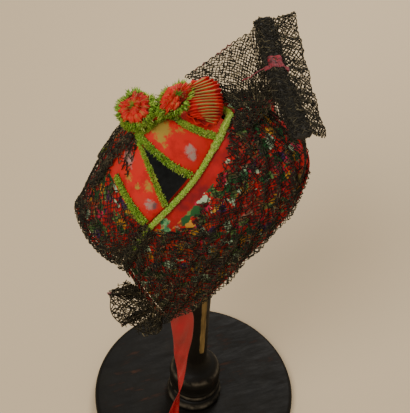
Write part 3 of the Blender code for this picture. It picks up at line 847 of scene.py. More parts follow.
def foldAt(u, v):
    # Gathers that run forward and down over the side, from 0 to 1
    down = u * sideLace["length"]
    forward = v * sideLace["width"]
    across = (down + 2 * forward) / 2.236
    wander = 0.9 * np.sin(down * 55) + 0.7 * np.sin(forward * 90 + 2)
    return 0.5 + 0.5 * np.sin(across * 2 * math.pi / sideLace["foldPitch"] + wander)


def makeSideLace():
    edge = np.array(sideLace["edge"])
    for hand, sign, first in (("near", -1, 0.0), ("far", 1, 0.10)):
        def shape(u, v, sign=sign, first=first, lift=sideLace["lift"]):
            down = first + (1.02 - first) * u
            free = np.interp(down, edge[:, 0], edge[:, 1])
            wave = sideLace["scallopDepth"] * (np.abs(np.sin(np.pi * sideLace["scallops"] * u)) - 0.6)
            reach = -sideLace["over"] + (free + wave + sideLace["over"]) * v
            edgeLift = 0.0012 * bell(reach, -0.03, 0.03) + 0.0012 * bell(down, 1.0, 0.02)
            height = lift + edgeLift + sideLace["foldHeight"] * foldAt(u, v) ** 2
            return offSurface(bandBeyond, sign * down, reach, height)

        def upper(u, v):
            return shape(u, v, lift=sideLace["upperLift"])

        def brow(u, v):
            # The red binding shows here
            return np.exp(-((u - 0.24) / 0.09) ** 4 - (v / 0.09) ** 2)

        def plain(u, v):
            return (1 - brow(u, v)) * (0.72 + 0.28 * foldAt(u, v))

        def dense(u, v):
            # Gathers are thick along the face edge, on the folds and towards the ear
            ear = held((u - 0.52) / 0.1) * held(1.25 - v)
            hem = bell(v, 0, 0.09) * (u > 0.28)
            openPatch = spot(u, v, (0.47, 0.72), (0.11, 0.28))
            fold = held((foldAt(u, v) - 0.40) * 2.6) * (0.65 + 0.35 * held((u - 0.15) / 0.2))
            return held(0.06 + 0.90 * fold + 0.60 * ear + 0.9 * hem - 0.9 * openPatch - 1.2 * brow(u, v))

        def thick(u, v):
            return held(dense(u, v) - 0.4)
        size = (sideLace["length"], sideLace["width"])
        stretch = 1.0 if sign < 0 else sideLace["farStretch"]
        groups = netOver(shape, size, [stretch * pitch for pitch in sideLace["cell"]], keep=plain)
        groups += netOver(upper, size, [pitch * stretch for pitch in sideLace["upperCell"]], 0.2, dense, 0.3)
        if sign < 0:
            groups += netOver(upper, size, sideLace["thickCell"], 0.3, thick, 0.3)
            groups += wavyThreads(upper, 8, 46, (0.1, 1.0), (0.0, 0.75), 0.08, (0.003, 0.010),
                                  laceYarn["heavy"])
        lacePiece(f"laceSide{hand.capitalize()}", groups, (f"lace_side_{hand}",))

        def overBraid(u, v, sign=sign):
            # The net goes on over the lower end of the braid to the neck
            down = 0.70 + 0.31 * u
            low = offSurface(bandBeyond, sign * down, 0.90, sideLace["seamLift"])
            high = offSurface(panelBeyond, down, sign * 0.88, sideLace["seamLift"])
            outward = unit(low + high - 2 * capMiddle)
            rise = sideLace["seamArch"] * np.sin(np.pi * v) + 0.0008 * np.sin(u * 40)
            return low + (high - low) * v[:, None] + outward * rise[:, None]
        span = sideLace["seamSpan"]
        groups = netOver(overBraid, span, (0.0038, 0.0021), 0.2)
        groups += netOver(overBraid, span, (0.0034, 0.0020), 0.3, lambda u, v: held(0.3 + u * 1.1))
        lacePiece(f"laceSeam{hand.capitalize()}", groups)


neckLace = {
    "top": 0.735, "bottom": 1.03, "turn": 0.95, "lift": 0.0015, "scallops": 11, "cell": (0.0045, 0.0025),
    # sides of each net laid flat
    "span": (0.14, 0.058), "spineSpan": (0.009, 0.060), "veilSpan": (0.055, 0.040),
    "gatherSpan": (0.016, 0.030),
}


def makeNeckLace():
    def shape(u, v):
        wave = 0.016 * np.abs(np.sin(u * math.pi * neckLace["scallops"]))
        level = neckLace["top"] - wave * (1 - v) + (neckLace["bottom"] - neckLace["top"]) * v
        turn = (2 * u - 1) * neckLace["turn"]
        edgeLift = 0.0014 * bell(level, 1.01, 0.02)
        height = neckLace["lift"] + edgeLift + 0.0009 * np.sin(u * 70 + v * 5) ** 2
        return offSurface(panelBeyond, level, turn, height)
    size = neckLace["span"]
    groups = netOver(shape, size, neckLace["cell"])
    groups += netOver(shape, size, (0.0042, 0.0024), 0.3,
                      lambda u, v: held(0.6 * v - 0.15 + 0.5 * (u < 0.25)))
    groups += netOver(shape, size, (0.0034, 0.0020), 0.3,
                      lambda u, v: held(1.6 * v - 1.25 + 0.4 * (u < 0.25)))
    groups += wavyThreads(shape, 12, 40, (0, 1), (0.7, 1.0), 0.1, (0.004, 0.03), laceYarn["heavy"])

    def spine(u, v):
        # The rope of lace down the middle of the back
        level = 0.50 + 0.34 * v
        turn = -0.06 + 0.20 * v + (u - 0.5) * (0.12 + 0.06 * v)
        height = 0.0024 + 0.0016 * np.sin(u * math.pi) + 0.0006 * np.sin(v * 40)
        return offSurface(panelSurface, level, turn, height)
    groups += netOver(spine, neckLace["spineSpan"], (0.0018, 0.0022), 0.3, None, 0.5)
    groups += netOver(spine, neckLace["spineSpan"], (0.0016, 0.0026), 0.3, None, 0.3)

    def gather(u, v):
        # A pulled-up wisp beside it
        level = 0.50 + 0.16 * v
        turn = -(0.06 + 0.26 * u * (0.5 + 0.5 * v))
        return offSurface(panelSurface, level, turn, 0.0020 + 0.0012 * np.sin(u * 13))

    def backVeil(u, v):
        # Net on the far half of the back, up to the hindmost rosette
        level = 0.47 + 0.28 * v
        turn = 0.03 + 0.80 * u
        return offSurface(panelSurface, level, turn, 0.0030 + 0.0008 * np.sin(u * 19 + v * 9))
    groups += netOver(backVeil, neckLace["veilSpan"], (0.0040, 0.0022), 0.25, None, 0.35)
    groups += netOver(backVeil, neckLace["veilSpan"], (0.0044, 0.0024), 0.3,
                      lambda u, v: np.full(len(u), 0.5))
    groups += netOver(gather, neckLace["gatherSpan"], (0.0022, 0.0026), 0.3,
                      lambda u, v: np.full(len(u), 0.8), 0.4)
    lacePiece("laceNeck", groups, ("lace_neck",))


standingLace = {
    "roll": ((-6.2, -5.2, 44.6), (0.0, -5.6, 44.75), (6.2, -6.7, 44.8)), "rollHalf": (0.0083, 0.0040),
    "frillEdge": ((-6.4, -7.0, 44.3), (0.0, -8.1, 44.4), (6.3, -9.3, 45.0)),
    "fanEdge": ((3.0, 0.9, 43.6), (4.0, -0.7, 43.3), (5.0, -2.5, 43.2), (5.6, -3.9, 43.4), (6.1, -5.4, 43.6)),
    "wallReach": 0.40, "wallFoot": 0.0028, "fanRoot": 0.0010, "veilRoot": 0.0035,
    # sides of each net laid flat
    "rollSpan": 0.125, "frillSpan": (0.135, 0.021), "wallSpan": (0.135, 0.045), "fanSpan": (0.062, 0.070),
    "gussetSpan": (0.062, 0.016), "veilSpan": (0.034, 0.062),
    "scallops": {"frill": 14, "fan": 11}, "cell": (0.0040, 0.0022),
    # the crimson tie across the roll
    "loops": 7, "tieAt": 0.545, "loopStep": 0.004, "tail": (-0.004, 0.019, -0.005),
}


def makeStandingLace():
    halfWide, halfHigh = standingLace["rollHalf"]
    yarn = laceYarn["standing"]
    roll = standingLace["roll"]
    rollBack = np.array((0, halfWide * 0.8, 0))

    def rollAt(u, v, swell=1.0):
        # v runs round the roll, u along it
        centre = through(roll, u)
        ahead = unit(through(roll, held(u + 0.01)) - through(roll, held(u - 0.01)))
        forward = unit(np.cross((0.0, 0.0, 1.0), ahead))
        up = np.cross(ahead, forward)
        angle = v * 2 * math.pi
        fold = 1 + 0.15 * np.sin(angle * 7 + 1.2 * np.sin(u * 9)) + 0.05 * np.sin(u * 40 + angle * 3)
        spoke = forward * (np.cos(angle) * halfWide)[:, None] + up * (np.sin(angle) * halfHigh)[:, None]
        return centre + spoke * (fold * swell)[:, None]

    def rolled(swell):
        return lambda u, v: rollAt(u, v, swell)

    mappedSheet("laceRollFold", (110, 72), rolled(0.74), finishes["laceFold"], (), closed=True)
    span = (standingLace["rollSpan"], 2.2 * (halfWide + halfHigh) * 1.3)
    groups = netOver(rolled(0.85), span, (0.0034, 0.0018), 0.3, None, 0.4, tone=0.3)
    groups += netOver(rolled(0.94), span, (0.0042, 0.0021), 0.25, None, 0.2, tone=0.42)
    groups += wavyThreads(rolled(0.96), 60, 44, (0, 1), (0, 1), 0.010, (0, 0), laceYarn["thread"], 0.25)
    lacePiece("laceRoll", groups, ("lace_roll",))

    def frill(u, v, shift=0.0):
        start = through(roll, u) - np.array((0, halfWide * 0.80, 0.0006))
        end = through(standingLace["frillEdge"], u)
        scallop = 1 + 0.035 * np.abs(np.sin(u * math.pi * standingLace["scallops"]["frill"])) - 0.03
        points = start + (end - start) * (v * scallop)[:, None]
        points[:, 2] += (0.0022 * np.sin(u * math.pi * 9) + shift) * v + 0.0008 * np.sin(u * 70 + v * 5)
        return points
    size = standingLace["frillSpan"]
    groups = netOver(frill, size, (0.0037, 0.0021), 0.11, None, 0.3, 0.0, yarn * 1.1)
    groups += netOver(lambda u, v: frill(u, v, -0.0030), size, (0.0040, 0.0022), 0.14,
                      lambda u, v: 0.95 - 0.3 * v, radius=yarn)
    groups += netOver(lambda u, v: frill(u, v, -0.0016), size, (0.0043, 0.0024), 0.2,
                      lambda u, v: 0.6 - 0.5 * v, radius=yarn)
    rim = np.linspace(0, 1, 170)
    edge = frill(rim, np.ones(170)) + rng.normal(0, 0.0003, (170, 3))
    groups.append(lineOf(edge, laceYarn["rim"], np.full(169, 0.4)))
    lacePiece("laceFrill", groups, ("lace_frill",))

    def wall(u, v):
        side = (2 * u - 1) * standingLace["wallReach"]
        foot = offSurface(bandSurface, side, 0.02, standingLace["wallFoot"])
        top = through(roll, u) - np.array((0, 0, halfHigh * 1.05))
        points = foot + (top - foot) * v[:, None]
        points[:, 1] -= 0.004 * np.sin(np.pi * v) + 0.0016 * np.sin(u * math.pi * 11) * v * (1 - v)
        return points
    size = standingLace["wallSpan"]
    groups = netOver(wall, size, standingLace["cell"], 0.15, radius=yarn)
    groups += netOver(wall, size, (0.0042, 0.0023), 0.25, lambda u, v: 0.4 * (u < 0.4) + 0.05)
    lacePiece("laceWall", groups, ("lace_wall",))

    def fan(u, v, shift=0.0):
        root = offSurface(bandSurface, 0.012, 0.10 + 0.70 * v, standingLace["fanRoot"])
        end = through(standingLace["fanEdge"][::-1], v)
        scallop = 1 + 0.03 * np.abs(np.sin(v * math.pi * standingLace["scallops"]["fan"]))
        points = root + (end - root) * (u * scallop)[:, None]
        points[:, 2] += 0.006 * np.sin(np.pi * u) + shift * u
        return points

    def gusset(u, v):
        # Closes the net between the fan and the back of the roll
        edge = fan(u, np.zeros(len(u)))
        return edge + (through(roll, 0.5 + 0.5 * u) + rollBack - edge) * v[:, None]
    size = standingLace["fanSpan"]
    groups = netOver(fan, size, (0.0041, 0.0021), 0.12, None, 0.35, 0.0, yarn)
    groups += netOver(lambda u, v: fan(u, v, -0.002), size, (0.0044, 0.0024), 0.16,
                      lambda u, v: 0.8 - 0.5 * u, radius=yarn)
    groups += netOver(gusset, standingLace["gussetSpan"], (0.0040, 0.0021), 0.15, None, 0.35, radius=yarn)
    rim = np.linspace(0, 1, 120)
    edge = fan(np.ones(120), rim)
    groups.append(lineOf(edge, laceYarn["rim"], np.full(119, 0.3)))

    def crownVeil(u, v):
        # Net from the roll's foot back over the crown to the rosettes
        side = -0.16 + 0.172 * u
        low = offSurface(bandSurface, side, 0.86, standingLace["veilRoot"])
        high = through(roll, 0.5 + 1.1 * side) + np.array((0, halfWide * 0.8, -0.002))
        sag = 0.010 * np.sin(np.pi * v)
        return low + (high - low) * v[:, None] - np.stack([0 * sag, 0 * sag, sag], 1)
    groups += netOver(crownVeil, standingLace["veilSpan"], (0.0042, 0.0024), 0.2, None, 0.35)
    lacePiece("laceFan", groups, ("lace_fan",))

    # Crimson sewing thread along the fan's edge, and the tie across the roll
    line = edge[30:100] + rng.normal(0, 0.0005, (70, 3))
    groups = [lineOf(line, 0.00032, rng.random(69))]
    for row in range(standingLace["loops"]):
        at = standingLace["tieAt"] + standingLace["loopStep"] * row
        angle = np.linspace(0.05, 0.55, 16)
        loop = rollAt(np.full(16, at) + 0.01 * np.sin(angle * 8), angle, 1.06)
        groups.append(lineOf(loop, 0.0005, rng.random(15)))
    tail = loop[:1] + np.linspace(0, 1, 12)[:, None] * np.array(standingLace["tail"])
    tail = tail + rng.normal(0, 0.0004, (12, 3))
    groups.append(lineOf(tail, 0.0006, rng.random(11)))
    lacePiece("crimsonStitches", groups, finish="crimsonThread")

    def rag(u, v):
        # A scrap of dark red caught in the gathers
        return rollAt(0.56 + 0.09 * u, 0.12 + 0.26 * v, 1.00 + 0.05 * np.sin(u * 11) * np.sin(v * 9))
    mappedSheet("redScrap", (20, 14), rag, finishes["darkScrap"], (), 0.0006)


earFrill = {
    # free edge in centimetres, from the back of the ear tip to its front
    "outer": (
        (-5.0, 8.2, 30.5), (-5.5, 9.4, 30.0), (-5.3, 9.8, 28.4), (-5.7, 9.2, 25.9),
        (-5.3, 8.3, 24.0), (-5.6, 6.6, 22.9), (-5.3, 5.2, 22.7),
    ),
    "waves": 5, "depth": 0.0042, "cell": (0.0039, 0.0021), "span": (0.11, 0.030),
    "rootReach": 0.62, "off": 0.0036,
    # stretches of the rim with red thread on it
    "redRuns": ((22, 34), (66, 82)),
}


def makeEarFrills():
    for hand, sign in (("near", -1), ("far", 1)):
        def shape(u, v, sign=sign, phase=0.0):
            reach = earFrill["rootReach"] * (1 - u) + 0.02
            edge = bandSurface(sign * 1.0, reach)
            outward = unit(edge - bandSurface(sign * 0.95, reach))
            root = edge + outward * earFrill["off"]
            end = through(earFrill["outer"], u)
            if sign > 0:
                end = leaning(end * np.array((-1, 1, 1)))
            points = root + (end - root) * (v * (0.97 + 0.05 * np.sin(u * 34)))[:, None]
            points[:, 0] += sign * earFrill["depth"] * np.sin(u * math.pi * earFrill["waves"] + phase) * v
            return points
        yarn = laceYarn["standing"]
        span = earFrill["span"]
        groups = netOver(shape, span, earFrill["cell"], 0.16, None, 0.3, radius=yarn)
        groups += netOver(lambda u, v: shape(u, v, phase=1.3), span, (0.0042, 0.0023), 0.2,
                          lambda u, v: 1 - 0.25 * v, radius=yarn * 1.15)
        groups += netOver(lambda u, v: shape(u, v, phase=2.6), span, (0.0045, 0.0026), 0.25,
                          lambda u, v: 0.8 - 0.5 * v, radius=yarn)
        rim = np.linspace(0, 1, 110)
        edge = shape(rim, np.ones(110))
        groups.append(lineOf(edge, laceYarn["rim"], np.full(109, 0.3)))
        lacePiece(f"laceEar{hand.capitalize()}", groups, (f"lace_ear_{hand}",))
        red = [lineOf(edge[a:b] + 0.0006, 0.0006, rng.random(b - a - 1)) for a, b in earFrill["redRuns"]]
        lacePiece(f"redEdge{hand.capitalize()}", red, finish="crimsonThread")


makeSideLace()
makeNeckLace()
makeStandingLace()
makeEarFrills()
print("lace made")

# Rosettes along the crown

rosetteForms = {
    # centre as (back, height) in centimetres, half sizes, and the way of the long axis where it isn't round
    "back": {
        "centre": (5.75, 44.65), "radii": (0.0128, 0.0120), "rise": 0.0075, "tilt": 0.15, "major": None,
        "fringe": 3000, "lumps": 11,
    },
    "middle": {
        "centre": (2.75, 44.75), "radii": (0.0078, 0.0168), "rise": 0.0070, "tilt": 0.20,
        "major": (0.45, -0.8, 0.32), "fringe": 1900, "lumps": 9,
    },
    "front": {
        "centre": (0.60, 43.70), "radii": (0.0190, 0.0170), "rise": 0.0060, "tilt": 0.48, "major": None,
        "fringe": 0, "lumps": 0,
    },
}
ringSize = 0.0128
fringeForm = {"radius": 0.00062, "length": (0.0022, 0.0060), "depth": (-0.0065, 0.0022), "coreTufts": 90}
crownTie = {"radius": 0.0030, "lift": 0.0042, "lump": 0.2, "twist": 9, "tufts": 2000, "yarnLift": 0.0014}
shellForm = {
    # both ends of the pleats from the bottom one to the top one: forward and across, in centimetres
    "left": ((-0.3, -1.30), (-1.15, -0.95), (-1.62, -0.35), (-1.72, 0.35), (-1.35, 0.95), (-0.55, 1.60)),
    "right": ((0.75, -1.90), (1.40, -1.30), (1.80, -0.50), (1.95, 0.40), (1.95, 1.40), (1.10, 2.10)),
    "pleats": 15, "depth": 0.0011, "dome": 0.0075, "wall": 0.0005,
}


def rosetteAxes(form):
    # The root on the crown, the centre of the head and its three directions
    levels = np.linspace(0.06, 0.6, 200)
    ridge = panelSurface(levels, np.zeros(200))
    centre = np.array((0.0, form["centre"][0] * cm, form["centre"][1] * cm))
    nearest = np.linalg.norm(ridge - centre, axis=1).argmin()
    root = offSurface(panelSurface, levels[nearest], 0.0, 0.0006)
    stem = unit(centre - root)
    face = unit(stem - np.array((form["tilt"], 0, 0)))
    if form["major"]:
        length = unit(np.array(form["major"]) - face * np.dot(form["major"], face))
        across = np.cross(length, face)
    else:
        across = unit(np.cross((0.0, 1.0, 0.0), face))
        length = np.cross(face, across)
    return root, centre, face, across, length


def makeRosettes():
    for label, form in rosetteForms.items():
        root, centre, face, across, length = rosetteAxes(form)
        wide, long = form["radii"]
        slotNodes = (f"rosette_{label}",)

        def around(angle, first, second):
            # Out from the middle on the head's own ellipse
            return across * (np.cos(angle) * first)[:, None] + length * (np.sin(angle) * second)[:, None]
        if label == "front":
            forward = -length * np.sign(length[1])
            over = across * np.sign(across[0])
            ends = {side: np.array(shellForm[side]) for side in ("left", "right")}

            def pleatWave(u, v):
                wander = 1.3 * np.sin(v * 4 + u * 8)
                return np.sin(u * 2 * math.pi * shellForm["pleats"] + wander + 0.7 * np.sin(u * 23))

            def shell(u, v):
                # u runs over the pleats from the bottom one to the top one, v along each pleat
                rows = np.linspace(0, 1, len(ends["left"]))
                left = np.stack([np.interp(u, rows, ends["left"][:, k]) for k in (0, 1)], 1)
                right = np.stack([np.interp(u, rows, ends["right"][:, k]) for k in (0, 1)], 1)
                flat = (left + (right - left) * v[:, None]) * cm
                wave = pleatWave(u, v)
                puff = 0.0016 * (bell(v, 0.08, 0.09) + bell(v, 0.90, 0.10))
                dome = shellForm["dome"] * np.sqrt(held(arch(u) * arch(v)))
                height = dome + puff * (0.6 + 0.4 * wave) + wave * shellForm["depth"] - 0.001
                return centre + forward * flat[:, :1] + over * flat[:, 1:] + face * height[:, None]

            def shellMarks(u, v):
                ridge = 0.5 + 0.5 * pleatWave(u, v)
                return {"stripe": ridge * bell(v, 0.5, 0.32) * 1.05}
            mappedSheet("rosetteFront", (230, 24), shell, finishes["ruche"], slotNodes,
                        shellForm["wall"], marks=shellMarks)
        else:
            def ring(u, v, radius, tube, lift, lumps, start, share):
                # A gathered tube of cloth laid round the centre; v runs round the tube
                angle = start + u * share * 2 * math.pi
                puff = np.abs(np.sin(angle * lumps / 2)) ** 0.6
                gather = 1 + 0.10 * np.sin(angle * 41 + 3 * v)
                size = tube * (0.62 + 0.42 * puff) * gather * np.clip(arch(u) * 6, 0.3, 1)
                turn = v * 2 * math.pi
                bend = (radius + size * np.cos(turn)) / ringSize
                points = centre + around(angle, bend * wide, bend * long)
                points = points + face * (lift + size * np.sin(turn))[:, None]
                crumple = ripple(points, 0.0050, 0.0012, lumps) + ripple(points, 0.0022, 0.0005, lumps + 1)
                return points + unit(points - centre) * crumple[:, None]

            def ringMarks(u, v):
                return {"stripe": 0.68 * rng.random(len(u)) * (np.sin(u * 70 + 3 * v) > 0.1)}
            # name, radius, half thickness, lift, lumps, where it starts and the share of a turn
            rings = (
                ("Outer", 0.0086, 0.0044, 0.0022, form["lumps"], 0.4, 0.93),
                ("Inner", 0.0038, 0.0036, 0.0042, 5, 2.0, 0.9),
            )
            for part, *sizes in rings:
                mappedSheet(f"rosette{label.capitalize()}{part}", (200, 20), lambda u, v: ring(u, v, *sizes),
                            finishes["ruche"], slotNodes if part == "Outer" else (),
                            marks=ringMarks, closed=True)

        def cup(u, v):
            # The gathered underside, from the stitched root out to the rim
            angle = u * 2 * math.pi
            share = np.interp(v, (0, 0.3, 0.7, 1), (0.22, 0.34, 0.72, 0.94))
            middle = root + (centre + face * form["rise"] * 0.2 - root) * v[:, None]
            bend = share * (1 + 0.06 * np.sin(angle * 13) * v)
            return middle + around(angle, bend * wide, bend * long)
        mappedSheet(f"rosetteCup{label.capitalize()}", (96, 14), cup, finishes["ruche"], (),
                    shellForm["wall"], marks=lambda u, v: {"stripe": np.zeros(len(u))})

        if form["fringe"]:
            count = form["fringe"]
            angle = rng.uniform(0, 2 * math.pi, count)
            out = around(angle, wide, long)
            clump = 0.75 + 0.35 * np.sin(angle * 9 + 2 * np.sin(angle * 4))
            depth = rng.uniform(*fringeForm["depth"], count)
            starts = centre + out * rng.uniform(0.84, 1.05, count)[:, None] + face * depth[:, None]
            raised = unit(out) + face * rng.normal(0.25, 0.40, count)[:, None]
            lean = unit(raised + rng.normal(0, 0.25, (count, 3)))
            ends = starts + lean * (clump * rng.uniform(*fringeForm["length"], count))[:, None]
            few = fringeForm["coreTufts"]
            core = ("tuft", centre + face * 0.003 + rng.normal(0, 0.0008, (few, 3)),
                    centre + face * 0.0085 + rng.normal(0, 0.0016, (few, 3)), 0.0005, np.full(few, 0.3))
            fringe = ("tuft", starts, ends, fringeForm["radius"], greenTones(count, 0.05))
            greenPiece(f"fringe{label.capitalize()}", [fringe, core])

    # A twisted red strip and green yarn tie the rosettes down along the near side of the crown
    t = np.linspace(0, 1, 60)
    line = offSurface(panelSurface, 0.47 - 0.21 * t, -0.03 - 0.05 * np.sin(t * 3), crownTie["lift"])
    tubeAlong("crownStrip", line, crownTie["radius"], finishes["ruche"], (),
              lump=crownTie["lump"], twist=crownTie["twist"])
    count = crownTie["tufts"]
    along = rng.random(count)
    level = 0.47 - 0.22 * along
    turn = -0.13 - 0.03 * np.sin(along * 6)
    normals = normalAt(panelSurface, level, turn)
    run = unit(panelSurface(level - 0.01, turn) - panelSurface(level, turn))
    tones = greenTones(count, 0.06) * (0.95 - 0.5 * (along > 0.86))
    places = offSurface(panelSurface, level, turn, crownTie["yarnLift"])
    tufts = tuftsOn(places, normals, np.cross(normals, run), 0.0026, 0.0026, 0.00050, tones)
    greenPiece("crownYarn", [tufts])


makeRosettes()
print("rosettes made")

# Ribbon

ribbonPath = {
    # left and right edge in centimetres, from the ear tip down
    "rows": (
        ((-4.75, 4.25, 22.3), (-4.90, 2.30, 22.9)), ((-4.80, 4.00, 19.5), (-4.95, 2.25, 19.5)),
        ((-4.60, 3.80, 16.5), (-5.10, 2.70, 16.5)), ((-4.40, 3.45, 13.8), (-5.15, 2.90, 13.8)),
        ((-4.45, 3.30, 11.5), (-5.20, 3.25, 11.5)), ((-4.80, 3.25, 9.0), (-5.10, 3.95, 9.0)),
        ((-5.00, 3.30, 6.5), (-5.05, 4.45, 6.5)), ((-5.05, 3.15, 3.6), (-5.00, 4.55, 4.5)),
    ),
    "seats": (-0.985, -0.925), "wall": 0.0004, "crease": 0.0010, "cells": (16, 190), "print": (0.0195, 0.215),
    # how far under the cloth it is sewn, as reach and extra depth
    "sewn": ((0.16, 0.0), (0.0, 0.0013)), "gap": 0.0008,
}


def makeRibbon():
    inside = shellCloth["wall"] + ribbonPath["wall"] + ribbonPath["gap"]

    def sewnAt(side, reach, more):
        return tuple(offSurface(bandSurface, side, reach, -(inside + more)) / cm)
    tops = [[sewnAt(side, reach, more) for reach, more in ribbonPath["sewn"]] for side in ribbonPath["seats"]]
    edges = [tops[i] + [row[i] for row in ribbonPath["rows"]] for i in (0, 1)]

    def shape(u, v):
        left = through(edges[0], v)
        right = through(edges[1], v)
        points = left + (right - left) * u[:, None]
        bow = unit(np.cross(right - left, (0.0, 0.0, 1.0)))
        wave = np.sin(u * math.pi) * np.sin(v * 23) * 1.1 + 0.6 * np.sin(u * 7 + v * 37) * np.sin(math.pi * u)
        return points + bow * (ribbonPath["crease"] * wave)[:, None]
    piece = mappedSheet("ribbonTie", ribbonPath["cells"], shape, finishes["satin"], ("ribbon",),
                        ribbonPath["wall"], ribbonPath["print"])
    area = sheetArea(shape, ribbonPath["cells"])
    print(f"  ribbon area {area * 1e4:.1f} square centimetres")


makeRibbon()
print("ribbon made")

# Stand

standForm = {
    "baseRadius": 0.100, "baseTop": 0.0133, "edge": 0.0045, "postLow": 0.0107, "postHigh": 0.0122,
    "headRadius": 0.030, "headTop": 0.4146, "steps": 128, "seatGap": 0.0004,
    "postTop": 0.30, "footTop": 0.075, "postSections": 40, "sharp": 50, "ringHalf": 0.0015,
    # least radius and height of the turned rings, where a highlight is painted along their ridges
    "rings": ((0.0230, 0.0350), (0.0240, 0.0215), (0.0100, 0.0600)),
    # the bare streak on the post: angle, half width and height range
    "bareAngle": -2.93, "bareHalf": 0.38, "bareFrom": 0.096, "bareTo": 0.200,
}


def arcPoints(middle, radius, first, last, count):
    angles = np.radians(np.linspace(first, last, count))
    return [(middle[0] + radius * math.cos(a), middle[1] + radius * math.sin(a)) for a in angles]


def turnedPiece(name, profile, node):
    # A profile at +X, top to bottom, spun round the post
    made = bmesh.new()
    verts = [made.verts.new((x, 0, z)) for x, z in profile]
    edges = [made.edges.new(pair) for pair in zip(verts, verts[1:])]
    bmesh.ops.spin(made, geom=verts + edges, cent=(0, 0, 0), axis=(0, 0, 1), angle=2 * math.pi,
                   steps=standForm["steps"], use_merge=True, use_duplicate=False)
    bmesh.ops.remove_doubles(made, verts=made.verts, dist=1e-6)
    bmesh.ops.recalc_face_normals(made, faces=made.faces)
    bare = made.verts.layers.float.new("bare")
    paintedRingHighlight = made.verts.layers.float.new("paintedRingHighlight")
    for vertex in made.verts:
        out = math.hypot(vertex.co.x, vertex.co.y)
        # A painted highlight along the ridge of each turned ring, on the post only
        ringHigh = max(bell(vertex.co.z, z, standForm["ringHalf"]) * (out > r) for r, z in standForm["rings"])
        vertex[paintedRingHighlight] = ringHigh if name == "standPost" else 0.0
        away = abs(math.remainder(math.atan2(vertex.co.y, vertex.co.x) - standForm["bareAngle"], 2 * math.pi))
        onPost = standForm["bareFrom"] < vertex.co.z < standForm["bareTo"] and name == "standPost"
        vertex[bare] = max(0.0, 1 - (away / standForm["bareHalf"]) ** 2) if onPost else 0.0
    data = bpy.data.meshes.new(name)
    made.to_mesh(data)
    made.free()
    piece = addPiece(name, data, finishes["blackWood"], (node,))
    data.set_sharp_from_angle(angle=math.radians(standForm["sharp"]))
    return piece


def makeStand():
    base, top, edge = (standForm[label] for label in ("baseRadius", "baseTop", "edge"))
    disc = [(0, top)] + [(base * share, top) for share in (0.3, 0.6, 0.85)]
    disc += arcPoints((base - edge, top - edge), edge, 90, 0, 9)
    disc += [(base, 0.003), (base - 0.0006, 0.0012), (base - 0.002, 0.0), (base * 0.5, 0.0), (0, 0)]
    turnedPiece("standBase", disc, "stand_base")

    foot = top + standForm["seatGap"]
    neck = standForm["headTop"] - standForm["headRadius"]
    post = [(0, neck), (standForm["postHigh"], neck)]
    low = standForm["footTop"]
    span = standForm["postTop"] - low
    for z in np.linspace(standForm["postTop"], low, standForm["postSections"]):
        slim = standForm["postLow"] + (standForm["postHigh"] - standForm["postLow"]) * (z - low) / span
        post.append((slim * (1 + 0.006 * math.sin(z * 190)), float(z)))
    # bell foot, then its rings from the top down
    post += arcPoints((0.0092, 0.052), 0.0158, 66, 0, 12)
    post += arcPoints((0.0212, 0.0380), 0.0032, 48, -40, 6) + arcPoints((0.0206, 0.0322), 0.0042, 38, -42, 7)
    post += arcPoints((0.0216, 0.0236), 0.0044, 150, 40, 5) + arcPoints((0.0228, 0.0184), 0.0044, 40, -40, 7)
    post += [(0.0262, foot), (0, foot)]
    turnedPiece("standPost", post, "stand_post")

    radius = standForm["headRadius"]
    crown = radius * 1.1
    head = [(0, standForm["headTop"])] + arcPoints((0, standForm["headTop"] - crown), crown, 84, 24, 14)
    head += [(radius * 0.55, neck + standForm["seatGap"]), (0, neck + standForm["seatGap"])]
    turnedPiece("standHead", head, "stand_head")


makeStand()
print("stand made")

# Floor, light and camera

room = {
    "floor": colour(201, 180, 147), "floorSize": 30.0,
    # name, place, size, power, tint
    "lights": (
        ("keyLight", (-0.85, 1.15, 2.3), 1.1, 46.0, (1.0, 0.96, 0.90)),
        ("fillLight", (0.80, -0.60, 1.0), 0.6, 12.0, (1.0, 0.97, 0.92)),
    ),
    "aim": (0, 0, 0.3), "worldColour": (0.92, 0.88, 0.82, 1.0), "worldStrength": 0.44,
}
photoView = {
    # focal length and height in the photo's own pixels
    "focal": 1300.0, "imageHeight": 413.0, "sensor": 36.0,
    "elevation": 51.08, "azimuth": -111.0, "roll": 3.035,
    "distance": 1.08955, "targetHeight": 0.30953, "targetAside": 0.001524,
}


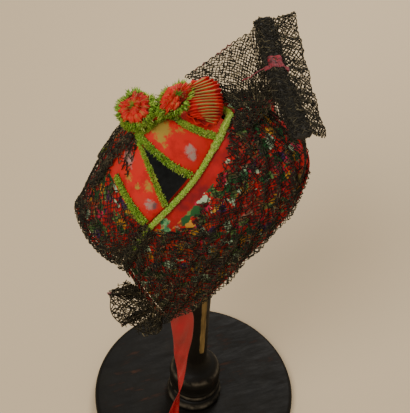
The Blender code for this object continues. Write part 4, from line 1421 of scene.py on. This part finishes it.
def makeRoom():
    made = bmesh.new()
    bmesh.ops.create_grid(made, x_segments=1, y_segments=1, size=room["floorSize"] / 2)
    data = bpy.data.meshes.new("floor")
    made.to_mesh(data)
    made.free()
    paint = Finish("paleFloor", 0.9)
    paler = tuple(c * 1.03 for c in room["floor"][:3]) + (1.0,)
    shade = paint.ramp(paint.noise(2.0, 2.0), ((0.3, room["floor"]), (0.7, paler)))
    data.materials.append(paint.finish(shade))
    floor = bpy.data.objects.new("floor", data)
    bpy.context.scene.collection.objects.link(floor)
    for name, place, size, power, tint in room["lights"]:
        lamp = bpy.data.lights.new(name, "AREA")
        lamp.shape = "DISK"
        lamp.size = size
        lamp.energy = power
        lamp.color = tint
        holder = bpy.data.objects.new(name, lamp)
        holder.location = place
        holder.rotation_euler = (Vector(room["aim"]) - Vector(place)).to_track_quat("-Z", "Y").to_euler()
        bpy.context.scene.collection.objects.link(holder)
    world = bpy.data.worlds.new("studio")
    world.use_nodes = True
    world.node_tree.nodes["Background"].inputs["Color"].default_value = room["worldColour"]
    world.node_tree.nodes["Background"].inputs["Strength"].default_value = room["worldStrength"]
    bpy.context.scene.world = world


def makeCamera():
    turn = math.radians(photoView["azimuth"])
    rise = math.radians(photoView["elevation"])
    right = Vector((math.cos(turn), math.sin(turn), 0))
    back = Vector((math.sin(turn) * math.cos(rise), -math.cos(turn) * math.cos(rise), math.sin(rise)))
    up = back.cross(right)
    roll = math.radians(photoView["roll"])
    rolledRight = right * math.cos(roll) + up * math.sin(roll)
    rolledUp = up * math.cos(roll) - right * math.sin(roll)
    data = bpy.data.cameras.new("photoCamera")
    data.sensor_width = photoView["sensor"]
    data.lens = photoView["focal"] * photoView["sensor"] / photoView["imageHeight"]
    camera = bpy.data.objects.new("photoCamera", data)
    target = right * photoView["targetAside"] + Vector((0, 0, photoView["targetHeight"]))
    place = target + back * photoView["distance"]
    matrix = camera.matrix_world.copy()
    for column, axis in enumerate((rolledRight, rolledUp, back, place)):
        for row in range(3):
            matrix[row][column] = axis[row]
    camera.matrix_world = matrix
    bpy.context.scene.collection.objects.link(camera)
    bpy.context.scene.camera = camera


makeRoom()
makeCamera()
print("room and camera made")
print("joined pieces:", len(triangleCounts), "triangles:", sum(triangleCounts),
      "largest:", max(triangleCounts))
